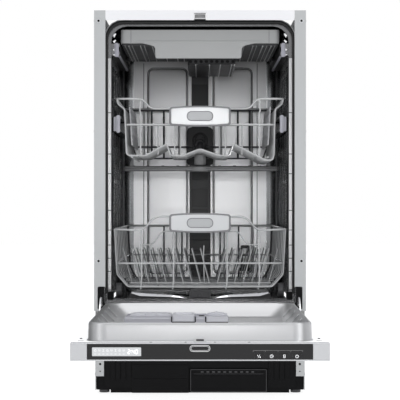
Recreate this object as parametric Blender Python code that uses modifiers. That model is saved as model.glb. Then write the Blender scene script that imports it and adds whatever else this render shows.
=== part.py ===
"""Slimline built-in dishwasher, standing with its door open and level.

Metres, +Z up, the front faces -Y. The origin is on the floor at the centre of the cabinet's footprint.
Positions below are cabinet positions: X from the centre line, Y from the cabinet's front plane
(towards the back), Z from the floor. An empty shifts them to the origin.
"""

import math

import bmesh
import bpy
from mathutils import Vector

# Driving dimensions of the cabinet
WIDTH = 0.448
HEIGHT = 0.815
DEPTH = 0.516
HALF = WIDTH / 2
GAP = 0.0003
SHEET = 0.0015
STRIP = 0.024
MOUTH_HALF = HALF - STRIP
BASE_TOP = 0.128
BASE_FRONT = 0.053
LOWER_EDGE = 0.0075
FLANGE_LOW = 0.1795

# Tub
TUB_HALF = 0.189
TUB_FLOOR = 0.204
TUB_CEILING = 0.784
TUB_BACK = 0.500
TUB_WALL = 0.0025
MOUTH_DEPTH = 0.0295
MOUTH_LOW = 0.1965
MOUTH_HIGH = 0.794
MOUTH_RADIUS = 0.038
SUMP_Y = 0.215
SUMP_RADIUS = 0.062
LOWER_HUB_Y = 0.250

# Door: the hinge axis runs along X through (HINGE_Y, HINGE_Z)
HINGE_Y = -0.022
HINGE_Z = 0.150
DOOR_END = -0.680
DOOR_NEAR_HINGE = -0.010
DOOR_UNDERSIDE = 0.139
FLANGE_TOP = 0.168
PAN_RIM = 0.201
PAN_BASE = 0.1726
PAN_HALF = 0.196
PAN_NEAR = -0.660
PAN_FAR = -0.072
SKIN = 0.0012
FASCIA_DEPTH = 0.0155
PIN_RADIUS = 0.004
ARM_X = 0.208
CATCH_TOP = 0.1785
ARM_THICK = 0.003

# Baskets and tray
BASKET_FRONT = 0.035
UPPER_BACK = 0.465
UPPER_TOP = 0.630
UPPER_LOOP = 0.575
UPPER_HALF = 0.178
UPPER_LOOP_HALF = 0.160
UPPER_HUB_Y = 0.250
# Half of a bent cross wire, from the side inwards, as (X, Z)
WAVE = (
    (0.148, 0.508),
    (0.118, 0.508),
    (0.074, 0.535),
    (0.064, 0.509),
    (0.040, 0.508),
    (0, 0.523),
)
LOWER_BACK = 0.470
LOWER_BACK_HALF = 0.173
LOWER_HALF = 0.184
LOWER_TOP = 0.3516
LOWER_LOOP = 0.2794
LOWER_PEAK = 0.379
LOWER_STEP_LOW = 0.319
LOWER_STEP_HIGH = 0.348
LOWER_KNEE = 0.255
UPRIGHTS = (-0.125, -0.057, 0.057, 0.125)
PANEL_GAP = 0.0055
LOWER_FLOOR = 0.228
LOWER_FLOOR_HALF = 0.150
HANDLE_HALF = 0.0655
RIM_WIRE = 0.0025
MESH_WIRE = 0.0018
WHEEL_RADIUS = 0.015
WHEEL_X = 0.1755
WHEEL_ROWS = {"front": 0.100, "rear": 0.400}
WIRE_TILT = 0.3
TINE_FIRST = -0.148
TINE_PITCH = 0.0186
TINE_COUNT = 16
TINE_SPLIT = 10
TINE_LENGTH = 0.076
TINE_LEAN = math.radians(14)
TINE_FORWARD = 0.004
TINE_ROW_Y = 0.090
TINE_ROW_Z = 0.234
TINE_TALL = 0.3155
TINE_REAR_ROWS = (0.240, 0.390)
SHELF_HINGE_Z = 0.540
TRAY_HALF = 0.169
TRAY_TOP = 0.777
TRAY_FRONT = 0.026
TRAY_BACK = 0.455
TRAY_LOW = 0.7425
TRAY_WALL = 0.0025
TRAY_COVER_LOW = 0.747
TRAY_GRIP_LOW = 0.716
GRIP_LEFT = -0.099
GRIP_RIGHT = 0.092
FIN_LOW = 0.7330
FIN_HIGH = 0.7380
FIN_NEAR = 0.200
FIN_FAR = 0.445
BIN_LEFT = -0.026
BIN_RIGHT = 0.076
BIN_FRONT = 0.062
BIN_BACK = 0.425
BIN_LOW = 0.705
RAIL_X = 0.1712
RAIL_LOW = 0.7225
RAIL_HIGH = 0.7475

# Base, feet and connections
FOOT_X = 0.206
FOOT_FRONT_Y = 0.075
INLET_X = -0.165
INLET_Z = 0.095
DRAIN_X = 0.120
DRAIN_Z = 0.060
HATCH_LEFT = -0.021
HATCH_RIGHT = 0.143
HATCH_TOP = 0.052
CUP_Y = 0.190
CUP_RADIUS = 0.026

# Control panel and dispenser
GLASS_HALF = 0.1947
GLASS_LOW = 0.1392
GLASS_HIGH = 0.1658
KEY_Z = 0.1448
KEY_HALF = 0.008
KEY_TALL = 0.0045
KEYS = {"key_half_load": 0.1015, "key_delay": 0.1236, "key_program": 0.1454, "key_power": 0.1673}
DISPENSER_FAR = -0.319
DISPENSER_NEAR = -0.402
LID_HINGE = (-0.093, DISPENSER_FAR - 0.004, 0.1955)
CAP_HINGE = (0.032, DISPENSER_FAR - 0.020, 0.1955)

# Rounded corners are drawn with this many steps
CORNER_STEPS = 5

# Colour, roughness, metallic
STAINLESS = ((0.62, 0.63, 0.64), 0.28, 1.0)
GALVANISED = ((0.55, 0.56, 0.57), 0.42, 1.0)
PAINTED_GREY = ((0.56, 0.57, 0.58), 0.45, 0.2)
WHITE_PAINT = ((0.80, 0.80, 0.81), 0.4, 0.0)
BLACK_PLASTIC = ((0.012, 0.012, 0.013), 0.5, 0.0)
DARK_PLASTIC = ((0.05, 0.05, 0.052), 0.45, 0.0)
GREY_PLASTIC = ((0.50, 0.50, 0.53), 0.45, 0.0)
LIGHT_PLASTIC = ((0.72, 0.72, 0.74), 0.4, 0.0)
COATED_WIRE = ((0.42, 0.43, 0.44), 0.35, 0.3)
BLACK_RUBBER = ((0.02, 0.02, 0.02), 0.7, 0.0)
BLACK_GLASS = ((0.01, 0.01, 0.012), 0.08, 0.0)


def clear_scene():
    for old in list(bpy.data.objects):
        bpy.data.objects.remove(old, do_unlink=True)


def collection(name):
    made = bpy.data.collections.new(name)
    bpy.context.scene.collection.children.link(made)
    return made


clear_scene()
PARTS = collection("dishwasher")
CUTTERS = collection("cutters")


class Frame:
    """An empty that carries pieces, and the cabinet position of its centre."""

    def __init__(self, name, origin, above=None):
        self.origin = Vector(origin)
        self.empty = bpy.data.objects.new(name, None)
        PARTS.objects.link(self.empty)
        if above:
            self.empty.parent = above.empty
            self.empty.location = self.origin - above.origin
        else:
            self.empty.location = (0, -DEPTH / 2, 0)


def finish_material(name, finish):
    colour, roughness, metallic = finish
    made = bpy.data.materials.new(name)
    made.use_nodes = True
    shader = made.node_tree.nodes["Principled BSDF"]
    shader.inputs["Base Color"].default_value = (*colour, 1.0)
    shader.inputs["Roughness"].default_value = roughness
    shader.inputs["Metallic"].default_value = metallic
    return made


def place(name, data, frame, centre, finish=None, turn=(0, 0, 0)):
    """Link an object at a cabinet position: a part if it has a finish, otherwise a cutter."""
    made = bpy.data.objects.new(name, data)
    made.parent = frame.empty
    made.location = Vector(centre) - frame.origin
    made.rotation_euler = turn
    if finish:
        data.materials.clear()
        data.materials.append(finish_material(name, finish))
        PARTS.objects.link(made)
    else:
        made.hide_render = True
        made.display_type = "WIRE"
        CUTTERS.objects.link(made)
    return made


TURN = {"X": (0, math.pi / 2, 0), "Y": (-math.pi / 2, 0, 0), "Z": (0, 0, 0)}
FACING = {"X": (math.pi / 2, 0, math.pi / 2), "Y": (math.pi / 2, 0, 0), "Z": (0, 0, 0)}


def box(name, low, high, frame, finish=None, bevel=0.0):
    """A box between two opposite corners."""
    size = Vector(high) - Vector(low)
    shape = bmesh.new()
    bmesh.ops.create_cube(shape, size=1.0)
    bmesh.ops.scale(shape, vec=size, verts=shape.verts)
    mesh = bpy.data.meshes.new(name)
    shape.to_mesh(mesh)
    shape.free()
    made = place(name, mesh, frame, (Vector(low) + Vector(high)) / 2, finish)
    if bevel:
        edge = made.modifiers.new("bevel", "BEVEL")
        edge.width = bevel
        edge.segments = 1
    return made


def cylinder(name, radius, length, centre, axis, frame, finish=None, sides=16):
    shape = bmesh.new()
    bmesh.ops.create_cone(
        shape, cap_ends=True, segments=sides, radius1=radius, radius2=radius, depth=length
    )
    mesh = bpy.data.meshes.new(name)
    shape.to_mesh(mesh)
    shape.free()
    mesh.shade_smooth()
    mesh.set_sharp_from_angle(angle=math.radians(40))
    return place(name, mesh, frame, centre, finish, TURN[axis])


def turned(name, profile, centre, axis, frame, finish=None, steps=24):
    """A turned piece: the profile's (radius, height) points run down its outer side."""
    mesh = bpy.data.meshes.new(name)
    points = [(radius, 0, height) for radius, height in profile]
    last = len(points) - 1
    edges = [(i, i + 1) for i in range(last)]
    if profile[0] == profile[-1]:
        points.pop()
        edges[-1] = (last - 1, 0)
    mesh.from_pydata(points, edges, [])
    made = place(name, mesh, frame, centre, finish, TURN[axis])
    screw = made.modifiers.new("turn", "SCREW")
    screw.steps = steps
    screw.render_steps = steps
    screw.use_merge_vertices = True
    screw.merge_threshold = 0.00001
    return made


def meshed(curve_object, name, frame, finish=None):
    """The curve object as a closed mesh, its caps welded; the curve is removed."""
    depsgraph = bpy.context.evaluated_depsgraph_get()
    mesh = bpy.data.meshes.new_from_object(curve_object.evaluated_get(depsgraph))
    shape = bmesh.new()
    shape.from_mesh(mesh)
    bmesh.ops.remove_doubles(shape, verts=shape.verts, dist=0.00001)
    shape.to_mesh(mesh)
    shape.free()
    centre = curve_object.location + frame.origin
    turn = tuple(curve_object.rotation_euler)
    curve_object.name = name + "_curve"
    bpy.data.objects.remove(curve_object)
    return place(name, mesh, frame, centre, finish, turn)


def plate(name, outline, start, end, facing, frame, finish=None, holes=()):
    """A flat outline extruded along an axis: (y, z) points for X, (x, z) for Y and (x, y) for Z."""
    curve = bpy.data.curves.new(name, "CURVE")
    curve.dimensions = "2D"
    curve.fill_mode = "BOTH"
    curve.extrude = abs(end - start) / 2
    for points in (outline, *holes):
        spline = curve.splines.new("POLY")
        spline.points.add(len(points) - 1)
        spline.use_cyclic_u = True
        for point, (u, v) in zip(spline.points, points):
            point.co = (u, v, 0, 1)
    middle = (start + end) / 2
    centre = {"X": (middle, 0, 0), "Y": (0, middle, 0), "Z": (0, 0, middle)}[facing]
    flat = place(name, curve, frame, centre, None, FACING[facing])
    return meshed(flat, name, frame, finish)


def wire(name, points, radius, frame, finish=None, cyclic=False, sides=4):
    """A round wire through cabinet positions, as a closed mesh."""
    curve = bpy.data.curves.new(name, "CURVE")
    curve.dimensions = "3D"
    curve.bevel_depth = radius
    curve.bevel_resolution = (sides - 4) // 2
    curve.use_fill_caps = True
    spline = curve.splines.new("POLY")
    spline.points.add(len(points) - 1)
    spline.use_cyclic_u = cyclic
    for point, position in zip(spline.points, points):
        point.co = (*(Vector(position) - frame.origin), 1)
        point.tilt = WIRE_TILT
    drawn = place(name, curve, frame, frame.origin)
    return meshed(drawn, name, frame, finish)


def boolean(piece, operation, tools):
    for tool in tools:
        step = piece.modifiers.new(operation.lower(), "BOOLEAN")
        step.operation = operation
        step.solver = "EXACT"
        step.object = tool
    return piece


def cut(piece, *tools):
    return boolean(piece, "DIFFERENCE", tools)


def join(piece, *tools):
    return boolean(piece, "UNION", tools)


def join_all(piece, tools):
    """Join many overlapping shapes in one step."""
    group = collection(piece.name + "_shapes")
    for tool in tools:
        CUTTERS.objects.unlink(tool)
        group.objects.link(tool)
    step = piece.modifiers.new("union", "BOOLEAN")
    step.operation = "UNION"
    step.solver = "EXACT"
    step.operand_type = "COLLECTION"
    step.collection = group
    return piece


def arc(centre, radius, start_deg, end_deg, steps):
    """Points on a circular arc in a plane, both ends included."""
    angles = [math.radians(start_deg + (end_deg - start_deg) * i / steps) for i in range(steps + 1)]
    return [(centre[0] + radius * math.cos(a), centre[1] + radius * math.sin(a)) for a in angles]


def rounded(half, low, high, low_radius, high_radius, steps=CORNER_STEPS):
    """An upright rounded rectangle, anticlockwise from its lower left corner."""
    bottom = low + low_radius
    top = high - high_radius
    return (
        arc((-half + low_radius, bottom), low_radius, 180, 270, steps)
        + arc((half - low_radius, bottom), low_radius, 270, 360, steps)
        + arc((half - high_radius, top), high_radius, 0, 90, steps)
        + arc((-half + high_radius, top), high_radius, 90, 180, steps)
    )


def mirrored(points, side):
    return [(side * u, v) for u, v in points]


def loft(name, rings, frame, finish, thickness):
    """An open sheet through closed rings of equally many points, its last ring filled, made solid."""
    shape = bmesh.new()
    loops = [[shape.verts.new(Vector(point) - frame.origin) for point in ring] for ring in rings]
    count = len(loops[0])
    for outer, inner in zip(loops, loops[1:]):
        for i in range(count):
            j = (i + 1) % count
            shape.faces.new((outer[i], outer[j], inner[j], inner[i]))
    shape.faces.new(loops[-1])
    mesh = bpy.data.meshes.new(name)
    shape.to_mesh(mesh)
    shape.free()
    made = place(name, mesh, frame, frame.origin, finish)
    thicken = made.modifiers.new("sheet", "SOLIDIFY")
    thicken.thickness = thickness
    thicken.offset = -1
    return made


CABINET = Frame("cabinet", (0, 0, 0))
DOOR = Frame("door_hinge", (0, HINGE_Y, HINGE_Z), CABINET)
SIDES = {"left": -1, "right": 1}


# ---------------------------------------------------------------- cabinet


def base_tray():
    skid_half = MOUTH_HALF - 0.008
    half = HALF - 0.0025
    back = DEPTH - 0.007
    wall = 0.003
    low = (-half, BASE_FRONT, LOWER_EDGE)
    tray = box("base_tray", low, (half, back, BASE_TOP), CABINET, BLACK_PLASTIC)
    skid_high = (skid_half, back - 0.010, LOWER_EDGE + 0.001)
    join(tray, box("base_skid", (-skid_half, BASE_FRONT + 0.010, 0), skid_high, CABINET))
    hollow_low = (-half + wall, BASE_FRONT + wall, LOWER_EDGE + wall)
    hollow = box("base_hollow", hollow_low, (half - wall, back - wall, BASE_TOP + 0.01), CABINET)
    cut(tray, hollow)
    join(tray, base_front())
    for name, side in SIDES.items():
        centre = (side * FOOT_X, FOOT_FRONT_Y, LOWER_EDGE)
        cut(tray, cylinder("foot_hole_" + name, 0.0045, 0.03, centre, "Z", CABINET))
    for name, x, z in (("inlet_hole", INLET_X, INLET_Z), ("drain_hole", DRAIN_X, DRAIN_Z)):
        cut(tray, cylinder(name, 0.0145, 0.03, (x, back, z), "Y", CABINET))


def base_front():
    """The raised front plate of the base, cut out around the service hatch."""
    half = 0.2045
    skirt = 0.012
    low = 0.0015
    outline = [
        (-half, skirt),
        (-0.146, skirt),
        (-0.146, low),
        (HATCH_LEFT - 0.003, low),
        (HATCH_LEFT - 0.003, HATCH_TOP + 0.002),
        (HATCH_RIGHT + 0.002, HATCH_TOP + 0.002),
        (HATCH_RIGHT + 0.002, skirt),
        (half, skirt),
        (half, BASE_TOP - 0.006),
        (-half, BASE_TOP - 0.006),
    ]
    return plate("base_front", outline, BASE_FRONT - 0.0045, BASE_FRONT + 0.001, "Y", CABINET)


def service_hatch():
    front = BASE_FRONT - 0.0060
    low = (HATCH_LEFT, front, 0.0025)
    high = (HATCH_RIGHT, BASE_FRONT - GAP, HATCH_TOP)
    hatch = box("service_hatch", low, high, CABINET, BLACK_PLASTIC)
    notches = 9
    pitch = (HATCH_RIGHT - HATCH_LEFT) / notches
    for i in range(notches):
        x = HATCH_LEFT + pitch * (i + 0.5)
        notch_low = (x - 0.003, front - 0.01, HATCH_TOP - 0.014)
        cut(hatch, box(f"notch_{i}", notch_low, (x + 0.003, front + 0.002, HATCH_TOP - 0.004), CABINET))


def side_panel(name, side):
    inner = MOUTH_HALF
    sheet = HALF - SHEET
    profile = mirrored(
        [(inner, 0), (HALF, 0), (HALF, DEPTH), (sheet, DEPTH), (sheet, SHEET), (inner, SHEET)], side
    )
    panel = plate("side_panel_" + name, profile, LOWER_EDGE, HEIGHT, "Z", CABINET, PAINTED_GREY)
    tab_front = BASE_FRONT - 0.0085
    low = sorted((side * 0.1, side * 0.3))
    recess = box(
        "recess_" + name, (low[0], -0.01, -0.01), (low[1], tab_front, FLANGE_LOW), CABINET
    )
    cut(panel, recess)
    tab_x = sorted((side * 0.2055, side * (sheet + 0.0005)))
    tab = box(
        "tab_" + name, (tab_x[0], tab_front, 0.037), (tab_x[1], tab_front + SHEET, 0.125), CABINET
    )
    top_x = sorted((side * 0.2085, side * (sheet + 0.0005)))
    top = box(
        "top_flange_" + name,
        (top_x[0], 0.047, HEIGHT - SHEET),
        (top_x[1], DEPTH - 0.004, HEIGHT),
        CABINET,
    )
    join(panel, tab, top)
    slot_x = sorted((side * 0.201, side * 0.2156))
    slot = box("hinge_slot_" + name, (slot_x[0], -0.01, 0.184), (slot_x[1], 0.01, 0.230), CABINET)
    screw = (side * 0.2135, tab_front, 0.063)
    cutters = [slot, cylinder("tab_screw_" + name, 0.0025, 0.02, screw, "Y", CABINET, sides=12)]
    for i, z in enumerate((0.285, 0.7927)):
        centre = (side * 0.2145, 0, z)
        cutters.append(cylinder(f"strip_hole_{name}_{i}", 0.0035, 0.02, centre, "Y", CABINET, sides=12))
    cut(panel, *cutters)


def top_front_rail():
    low = MOUTH_HIGH + GAP
    profile = [
        (0, low),
        (0, HEIGHT),
        (0.045, HEIGHT),
        (0.045, HEIGHT - SHEET),
        (SHEET, HEIGHT - SHEET),
        (SHEET, low),
    ]
    half = MOUTH_HALF - GAP
    rail = plate("top_front_rail", profile, -half, half, "X", CABINET, WHITE_PAINT)
    notch = box("striker_notch", (-0.0135, -0.01, 0.70), (0.0135, 0.01, 0.8095), CABINET)
    holes = [
        cylinder(f"worktop_hole_{i}", 0.003, 0.02, (x, 0.028, HEIGHT), "Z", CABINET, sides=12)
        for i, x in enumerate((-0.150, 0.150))
    ]
    cut(rail, notch, *holes)


def rear_brace():
    top = HEIGHT - SHEET - GAP
    profile = [
        (DEPTH - 0.050, top),
        (DEPTH - 0.050, top - SHEET),
        (DEPTH - 0.0025, top - SHEET),
        (DEPTH - 0.0025, 0.752),
        (DEPTH - 0.001, 0.752),
        (DEPTH - 0.001, top),
    ]
    half = HALF - SHEET - GAP
    plate("rear_brace", profile, -half, half, "X", CABINET, GALVANISED)


def tub():
    wall = TUB_WALL
    body = plate(
        "tub",
        rounded(TUB_HALF + wall, TUB_FLOOR - wall, TUB_CEILING + wall, 0.015, 0.036),
        MOUTH_DEPTH,
        TUB_BACK + wall,
        "Y",
        CABINET,
        STAINLESS,
    )
    outer_half = MOUTH_HALF + 0.003
    mouth = plate(
        "tub_mouth_block",
        rounded(outer_half, MOUTH_LOW - wall, MOUTH_HIGH + 0.0017, 0.006, MOUTH_RADIUS + 0.002),
        SHEET + 0.0007,
        MOUTH_DEPTH + wall,
        "Y",
        CABINET,
    )
    cavity = plate(
        "tub_cavity",
        rounded(TUB_HALF, TUB_FLOOR, TUB_CEILING, 0.004, 0.034),
        -0.02,
        TUB_BACK,
        "Y",
        CABINET,
    )
    opening = plate(
        "mouth_cavity",
        rounded(MOUTH_HALF + GAP, MOUTH_LOW, MOUTH_HIGH, 0.004, MOUTH_RADIUS),
        -0.02,
        MOUTH_DEPTH,
        "Y",
        CABINET,
    )
    drain = cylinder("sump_hole", SUMP_RADIUS, 0.05, (0, SUMP_Y, TUB_FLOOR), "Z", CABINET, sides=32)
    join(body, mouth)
    cut(body, cavity, opening, drain)
    carriers = []
    for name, side in SIDES.items():
        for i, y in enumerate((0.075, 0.215)):
            x = sorted((side * 0.1850, side * (TUB_HALF + 0.001)))
            low = (x[0], y - 0.015, 0.566)
            carriers.append(box(f"carrier_{name}_{i}", low, (x[1], y + 0.015, 0.586), CABINET))
        carriers.append(cutlery_rail(name, side))
    join(body, *carriers)


def cutlery_rail(name, side):
    """A channel along the tub wall that the cutlery tray's fins run in."""
    wall = TUB_HALF + 0.001
    middle = (RAIL_LOW + RAIL_HIGH) / 2
    outline = [
        (RAIL_X, RAIL_LOW),
        (wall, RAIL_LOW),
        (wall, RAIL_HIGH),
        (RAIL_X, RAIL_HIGH),
        (RAIL_X, middle + 0.0055),
        (0.1800, middle + 0.0055),
        (0.1800, middle - 0.0045),
        (RAIL_X, middle - 0.0045),
    ]
    return plate("cutlery_rail_" + name, mirrored(outline, side), 0.034, 0.460, "Y", CABINET)


def door_gasket():
    outer = MOUTH_HALF
    high = MOUTH_HIGH - 0.0004
    low = 0.215
    lip = 0.0032
    radius = MOUTH_RADIUS - 0.0004
    steps = CORNER_STEPS
    outside = arc((outer - radius, high - radius), radius, 0, 90, steps) + arc(
        (-outer + radius, high - radius), radius, 90, 180, steps
    )
    inside = arc((-outer + radius, high - radius), radius - lip, 180, 90, steps) + arc(
        (outer - radius, high - radius), radius - lip, 90, 0, steps
    )
    outline = [(outer, low), *outside, (-outer, low), (-outer + lip, low), *inside, (outer - lip, low)]
    plate("door_gasket", outline, 0.008, MOUTH_DEPTH - GAP, "Y", CABINET, BLACK_RUBBER)


def latch_striker():
    block = box("latch_striker", (-0.012, 0.0018, 0.7962), (0.012, 0.0262, 0.8090), CABINET, GREY_PLASTIC)
    cut(block, box("striker_pocket", (-0.0095, -0.01, 0.7982), (0.0095, 0.0240, 0.8068), CABINET))


def hinge_bracket(name, side):
    ear = 0.008
    outline = arc((HINGE_Y, HINGE_Z), ear, 90, 270, 8) + [
        (0.005, HINGE_Z - ear),
        (0.005, 0.131),
        (0.075, 0.131),
        (0.075, 0.172),
        (0.005, 0.172),
        (0.005, HINGE_Z + ear),
    ]
    x = sorted((side * 0.2125, side * 0.2155))
    bracket = plate("hinge_bracket_" + name, outline, x[0], x[1], "X", CABINET, GALVANISED)
    centre = (side * 0.2096, HINGE_Y, HINGE_Z)
    pin = cylinder("hinge_pin_" + name, PIN_RADIUS, 0.011, centre, "X", CABINET)
    join(bracket, pin)


def water_duct():
    """Rear duct with the upper basket's dock, ending in the sprayer under the ceiling."""
    back = TUB_BACK - GAP
    front = 0.476
    dock_z = 0.545
    duct = box("water_duct", (-0.025, front, 0.2055), (0.025, back, 0.530), CABINET, DARK_PLASTIC)
    top = TUB_CEILING - 0.0015
    upper = box("duct_upper", (-0.020, front + 0.002, 0.520), (0.020, back, top), CABINET)
    dock = plate("duct_dock", rounded(0.0316, 0.498, 0.588, 0.006, 0.012), 0.4745, 0.490, "Y", CABINET)
    port = cylinder("duct_port", 0.014, 0.016, (0, 0.4700, dock_z), "Y", CABINET)
    rose_centre = (0, UPPER_HUB_Y, TUB_CEILING - 0.0025)
    rose = cylinder("ceiling_rose", 0.032, 0.004, rose_centre, "Z", CABINET, sides=24)
    feed_low = (-0.015, UPPER_HUB_Y, top - 0.003)
    feed = box("ceiling_feed", feed_low, (0.015, front + 0.004, top - 0.0005), CABINET)
    join(duct, upper, dock, port, rose, feed)
    cut(duct, cylinder("duct_bore", 0.0085, 0.03, (0, 0.4620, dock_z), "Y", CABINET))


def sump():
    outer = SUMP_RADIUS - 0.0005
    inner = outer - 0.003
    profile = [(0, 0.130), (inner, 0.130), (inner, 0.2035), (outer, 0.2035), (outer, 0.126), (0, 0.126)]
    cup = turned("sump", profile, (0, SUMP_Y, 0), "Z", CABINET, DARK_PLASTIC, 32)
    post = cylinder("arm_post", 0.010, 0.083, (0, LOWER_HUB_Y, 0.1695), "Z", CABINET)
    pin = cylinder("arm_pin", PIN_RADIUS, 0.030, (0, LOWER_HUB_Y, 0.209), "Z", CABINET, sides=12)
    join(cup, post, pin)


def filter_unit():
    """The fine filter sheet over the sump, with the cup that catches scraps hanging in it."""
    low = TUB_FLOOR + GAP
    top = low + 0.002
    centre = (0, SUMP_Y, (low + top) / 2)
    disc = cylinder("filter_unit", 0.074, top - low, centre, "Z", CABINET, STAINLESS, 32)
    post_hole = cylinder("post_hole", 0.0108, 0.02, (0, LOWER_HUB_Y, low), "Z", CABINET)
    well = cylinder("cup_well", CUP_RADIUS - 0.002, 0.02, (0, CUP_Y, low), "Z", CABINET, sides=24)
    profile = [
        (0, 0.152),
        (CUP_RADIUS - 0.002, 0.152),
        (CUP_RADIUS - 0.002, top + 0.002),
        (CUP_RADIUS + 0.003, top + 0.002),
        (CUP_RADIUS + 0.003, top - 0.0005),
        (CUP_RADIUS, top - 0.0005),
        (CUP_RADIUS, 0.150),
        (0, 0.150),
    ]
    cut(disc, post_hole, well)
    cup = turned("filter_cup", profile, (0, CUP_Y, 0), "Z", CABINET)
    grip = box("cup_grip", (-0.025, CUP_Y - 0.003, 0.190), (0.025, CUP_Y + 0.003, 0.2100), CABINET)
    join(disc, cup, grip)


def circulation_pump():
    centre = Vector((0.060, 0.330, 0.075))
    motor = cylinder("circulation_pump", 0.040, 0.120, centre, "X", CABINET, DARK_PLASTIC, 24)
    volute = cylinder("pump_volute", 0.048, 0.030, centre - Vector((0.06, 0, 0)), "X", CABINET, sides=24)
    stub = cylinder("pump_stub", 0.014, 0.050, centre + Vector((-0.06, 0, 0.055)), "Z", CABINET)
    join(motor, volute, stub)


def spigoted(name, low, high, spigot_x, spigot_z, finish):
    """A box-shaped unit whose spigot leaves through the base tray's rear wall."""
    unit = box(name, low, high, CABINET, finish, bevel=0.003)
    spigot = cylinder(name + "_spigot", 0.012, 0.034, (spigot_x, 0.4985, spigot_z), "Y", CABINET)
    bore = cylinder(name + "_bore", 0.008, 0.034, (spigot_x, 0.5130, spigot_z), "Y", CABINET)
    join(unit, spigot)
    cut(unit, bore)


def foot(name, x, y):
    profile = [(0, 0.040), (0.004, 0.040), (0.004, 0.0070), (0.011, 0.0070), (0.011, 0), (0, 0)]
    turned("foot_" + name, profile, (x, y, 0), "Z", CABINET, BLACK_PLASTIC, 20)


# ---------------------------------------------------------------- door


def door_outer_panel():
    end = DOOR_END + FASCIA_DEPTH + GAP
    top = FLANGE_TOP - SKIN - 0.0005
    low = (-HALF, end, DOOR_UNDERSIDE)
    shell = box("door_outer_panel", low, (HALF, DOOR_NEAR_HINGE, top), DOOR, GALVANISED)
    inner = HALF - SKIN
    hollow_low = (-inner, end + SKIN, DOOR_UNDERSIDE + SKIN)
    cut(shell, box("door_hollow", hollow_low, (inner, 0.01, 0.2), DOOR))


def pan_ring(half, near, far, z, radius, steps=4):
    flat = rounded(half, near, far, radius, radius, steps)
    return [(x, y, z) for x, y in flat]


def door_liner():
    near = DOOR_END + FASCIA_DEPTH + GAP
    rings = [
        pan_ring(HALF, near, DOOR_NEAR_HINGE, FLANGE_TOP, 0.002),
        pan_ring(PAN_HALF + 0.001, PAN_NEAR - 0.001, PAN_FAR + 0.001, FLANGE_TOP, 0.036),
        pan_ring(PAN_HALF, PAN_NEAR, PAN_FAR, PAN_RIM, 0.036),
        pan_ring(PAN_HALF - 0.004, PAN_NEAR + 0.004, PAN_FAR - 0.004, PAN_RIM, 0.033),
        pan_ring(0.166, PAN_NEAR + 0.028, PAN_FAR - 0.032, PAN_BASE, 0.030),
    ]
    liner = loft("door_liner", rings, DOOR, STAINLESS, SKIN)
    for name, side in SIDES.items():
        slot_x = sorted((side * (ARM_X - 0.0025), side * (ARM_X + 0.0025)))
        slot = box("arm_slot_" + name, (slot_x[0], -0.092, 0.160), (slot_x[1], -0.030, 0.175), DOOR)
        notch_x = sorted((side * 0.2035, side * (HALF + 0.002)))
        notch = box("ear_notch_" + name, (notch_x[0], -0.038, 0.160), (notch_x[1], 0.01, 0.175), DOOR)
        cut(liner, slot, notch)


def control_fascia():
    back = DOOR_END + FASCIA_DEPTH
    low = (-HALF, DOOR_END, DOOR_UNDERSIDE - 0.002)
    fascia = box("control_fascia", low, (HALF, back, FLANGE_TOP), DOOR, PAINTED_GREY, bevel=0.0012)
    recess_low = (-GLASS_HALF - GAP, DOOR_END - 0.01, GLASS_LOW - GAP)
    recess_high = (GLASS_HALF + GAP, DOOR_END + 0.0028, GLASS_HIGH + GAP)
    hollow_low = (-HALF + 0.0025, DOOR_END + 0.0090, DOOR_UNDERSIDE + 0.0005)
    hollow_high = (HALF - 0.0025, back + 0.01, FLANGE_TOP - 0.0025)
    cut(fascia, box("glass_recess", recess_low, recess_high, DOOR))
    cut(fascia, box("fascia_hollow", hollow_low, hollow_high, DOOR))
    for name, x in KEYS.items():
        cut(fascia, key_box(name + "_well", x, GAP, DOOR_END - 0.01, DOOR_END + 0.0065, DOOR))
    join(fascia, *door_catch())


def door_catch():
    """The hook on the fascia's edge that snaps into the striker when the door closes."""
    near = DOOR_END + 0.0035
    foot = box("catch_foot", (-0.009, near, FLANGE_TOP - 0.001), (0.009, DOOR_END + 0.0150, 0.1700), DOOR)
    hook = box("catch_hook", (-0.006, near, 0.169), (0.006, near + 0.004, CATCH_TOP), DOOR)
    return foot, hook


def key_box(name, x, clearance, near, far, frame, finish=None):
    half = KEY_HALF + clearance
    tall = KEY_TALL + clearance
    return box(name, (x - half, near, KEY_Z - tall), (x + half, far, KEY_Z + tall), frame, finish)


def control_glass():
    glass = box(
        "control_glass",
        (-GLASS_HALF, DOOR_END - 0.0002, GLASS_LOW),
        (GLASS_HALF, DOOR_END + 0.0025, GLASS_HIGH),
        DOOR,
        BLACK_GLASS,
    )
    for name, x in KEYS.items():
        cut(glass, key_box(name + "_window", x, GAP, DOOR_END - 0.01, DOOR_END + 0.01, DOOR))


def key(name, x):
    """A key cap that travels 0.8 mm into its well."""
    face = DOOR_END - 0.0002
    frame = Frame(name + "_axis", (x, face, KEY_Z), DOOR)
    key_box(name, x, 0, face, face + 0.0055, frame, BLACK_GLASS)


def dispenser_body():
    low = (-0.143, DISPENSER_NEAR, PAN_BASE + GAP)
    body = box("dispenser_body", low, (0.054, DISPENSER_FAR, 0.1935), DOOR, GREY_PLASTIC, bevel=0.003)
    chamber = box(
        "detergent_chamber",
        (-0.126, DISPENSER_NEAR + 0.012, 0.176),
        (-0.060, DISPENSER_FAR - 0.012, 0.21),
        DOOR,
    )
    funnel = cylinder("rinse_funnel", 0.009, 0.03, (0.032, -0.360, 0.195), "Z", DOOR)
    cut(body, chamber, funnel)


def detergent_lid():
    frame = Frame("detergent_lid_axis", LID_HINGE, DOOR)
    low = (-0.132, DISPENSER_NEAR + 0.006, 0.1940)
    box("detergent_lid", low, (-0.054, LID_HINGE[1], 0.1975), frame, GREY_PLASTIC, bevel=0.0008)


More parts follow.
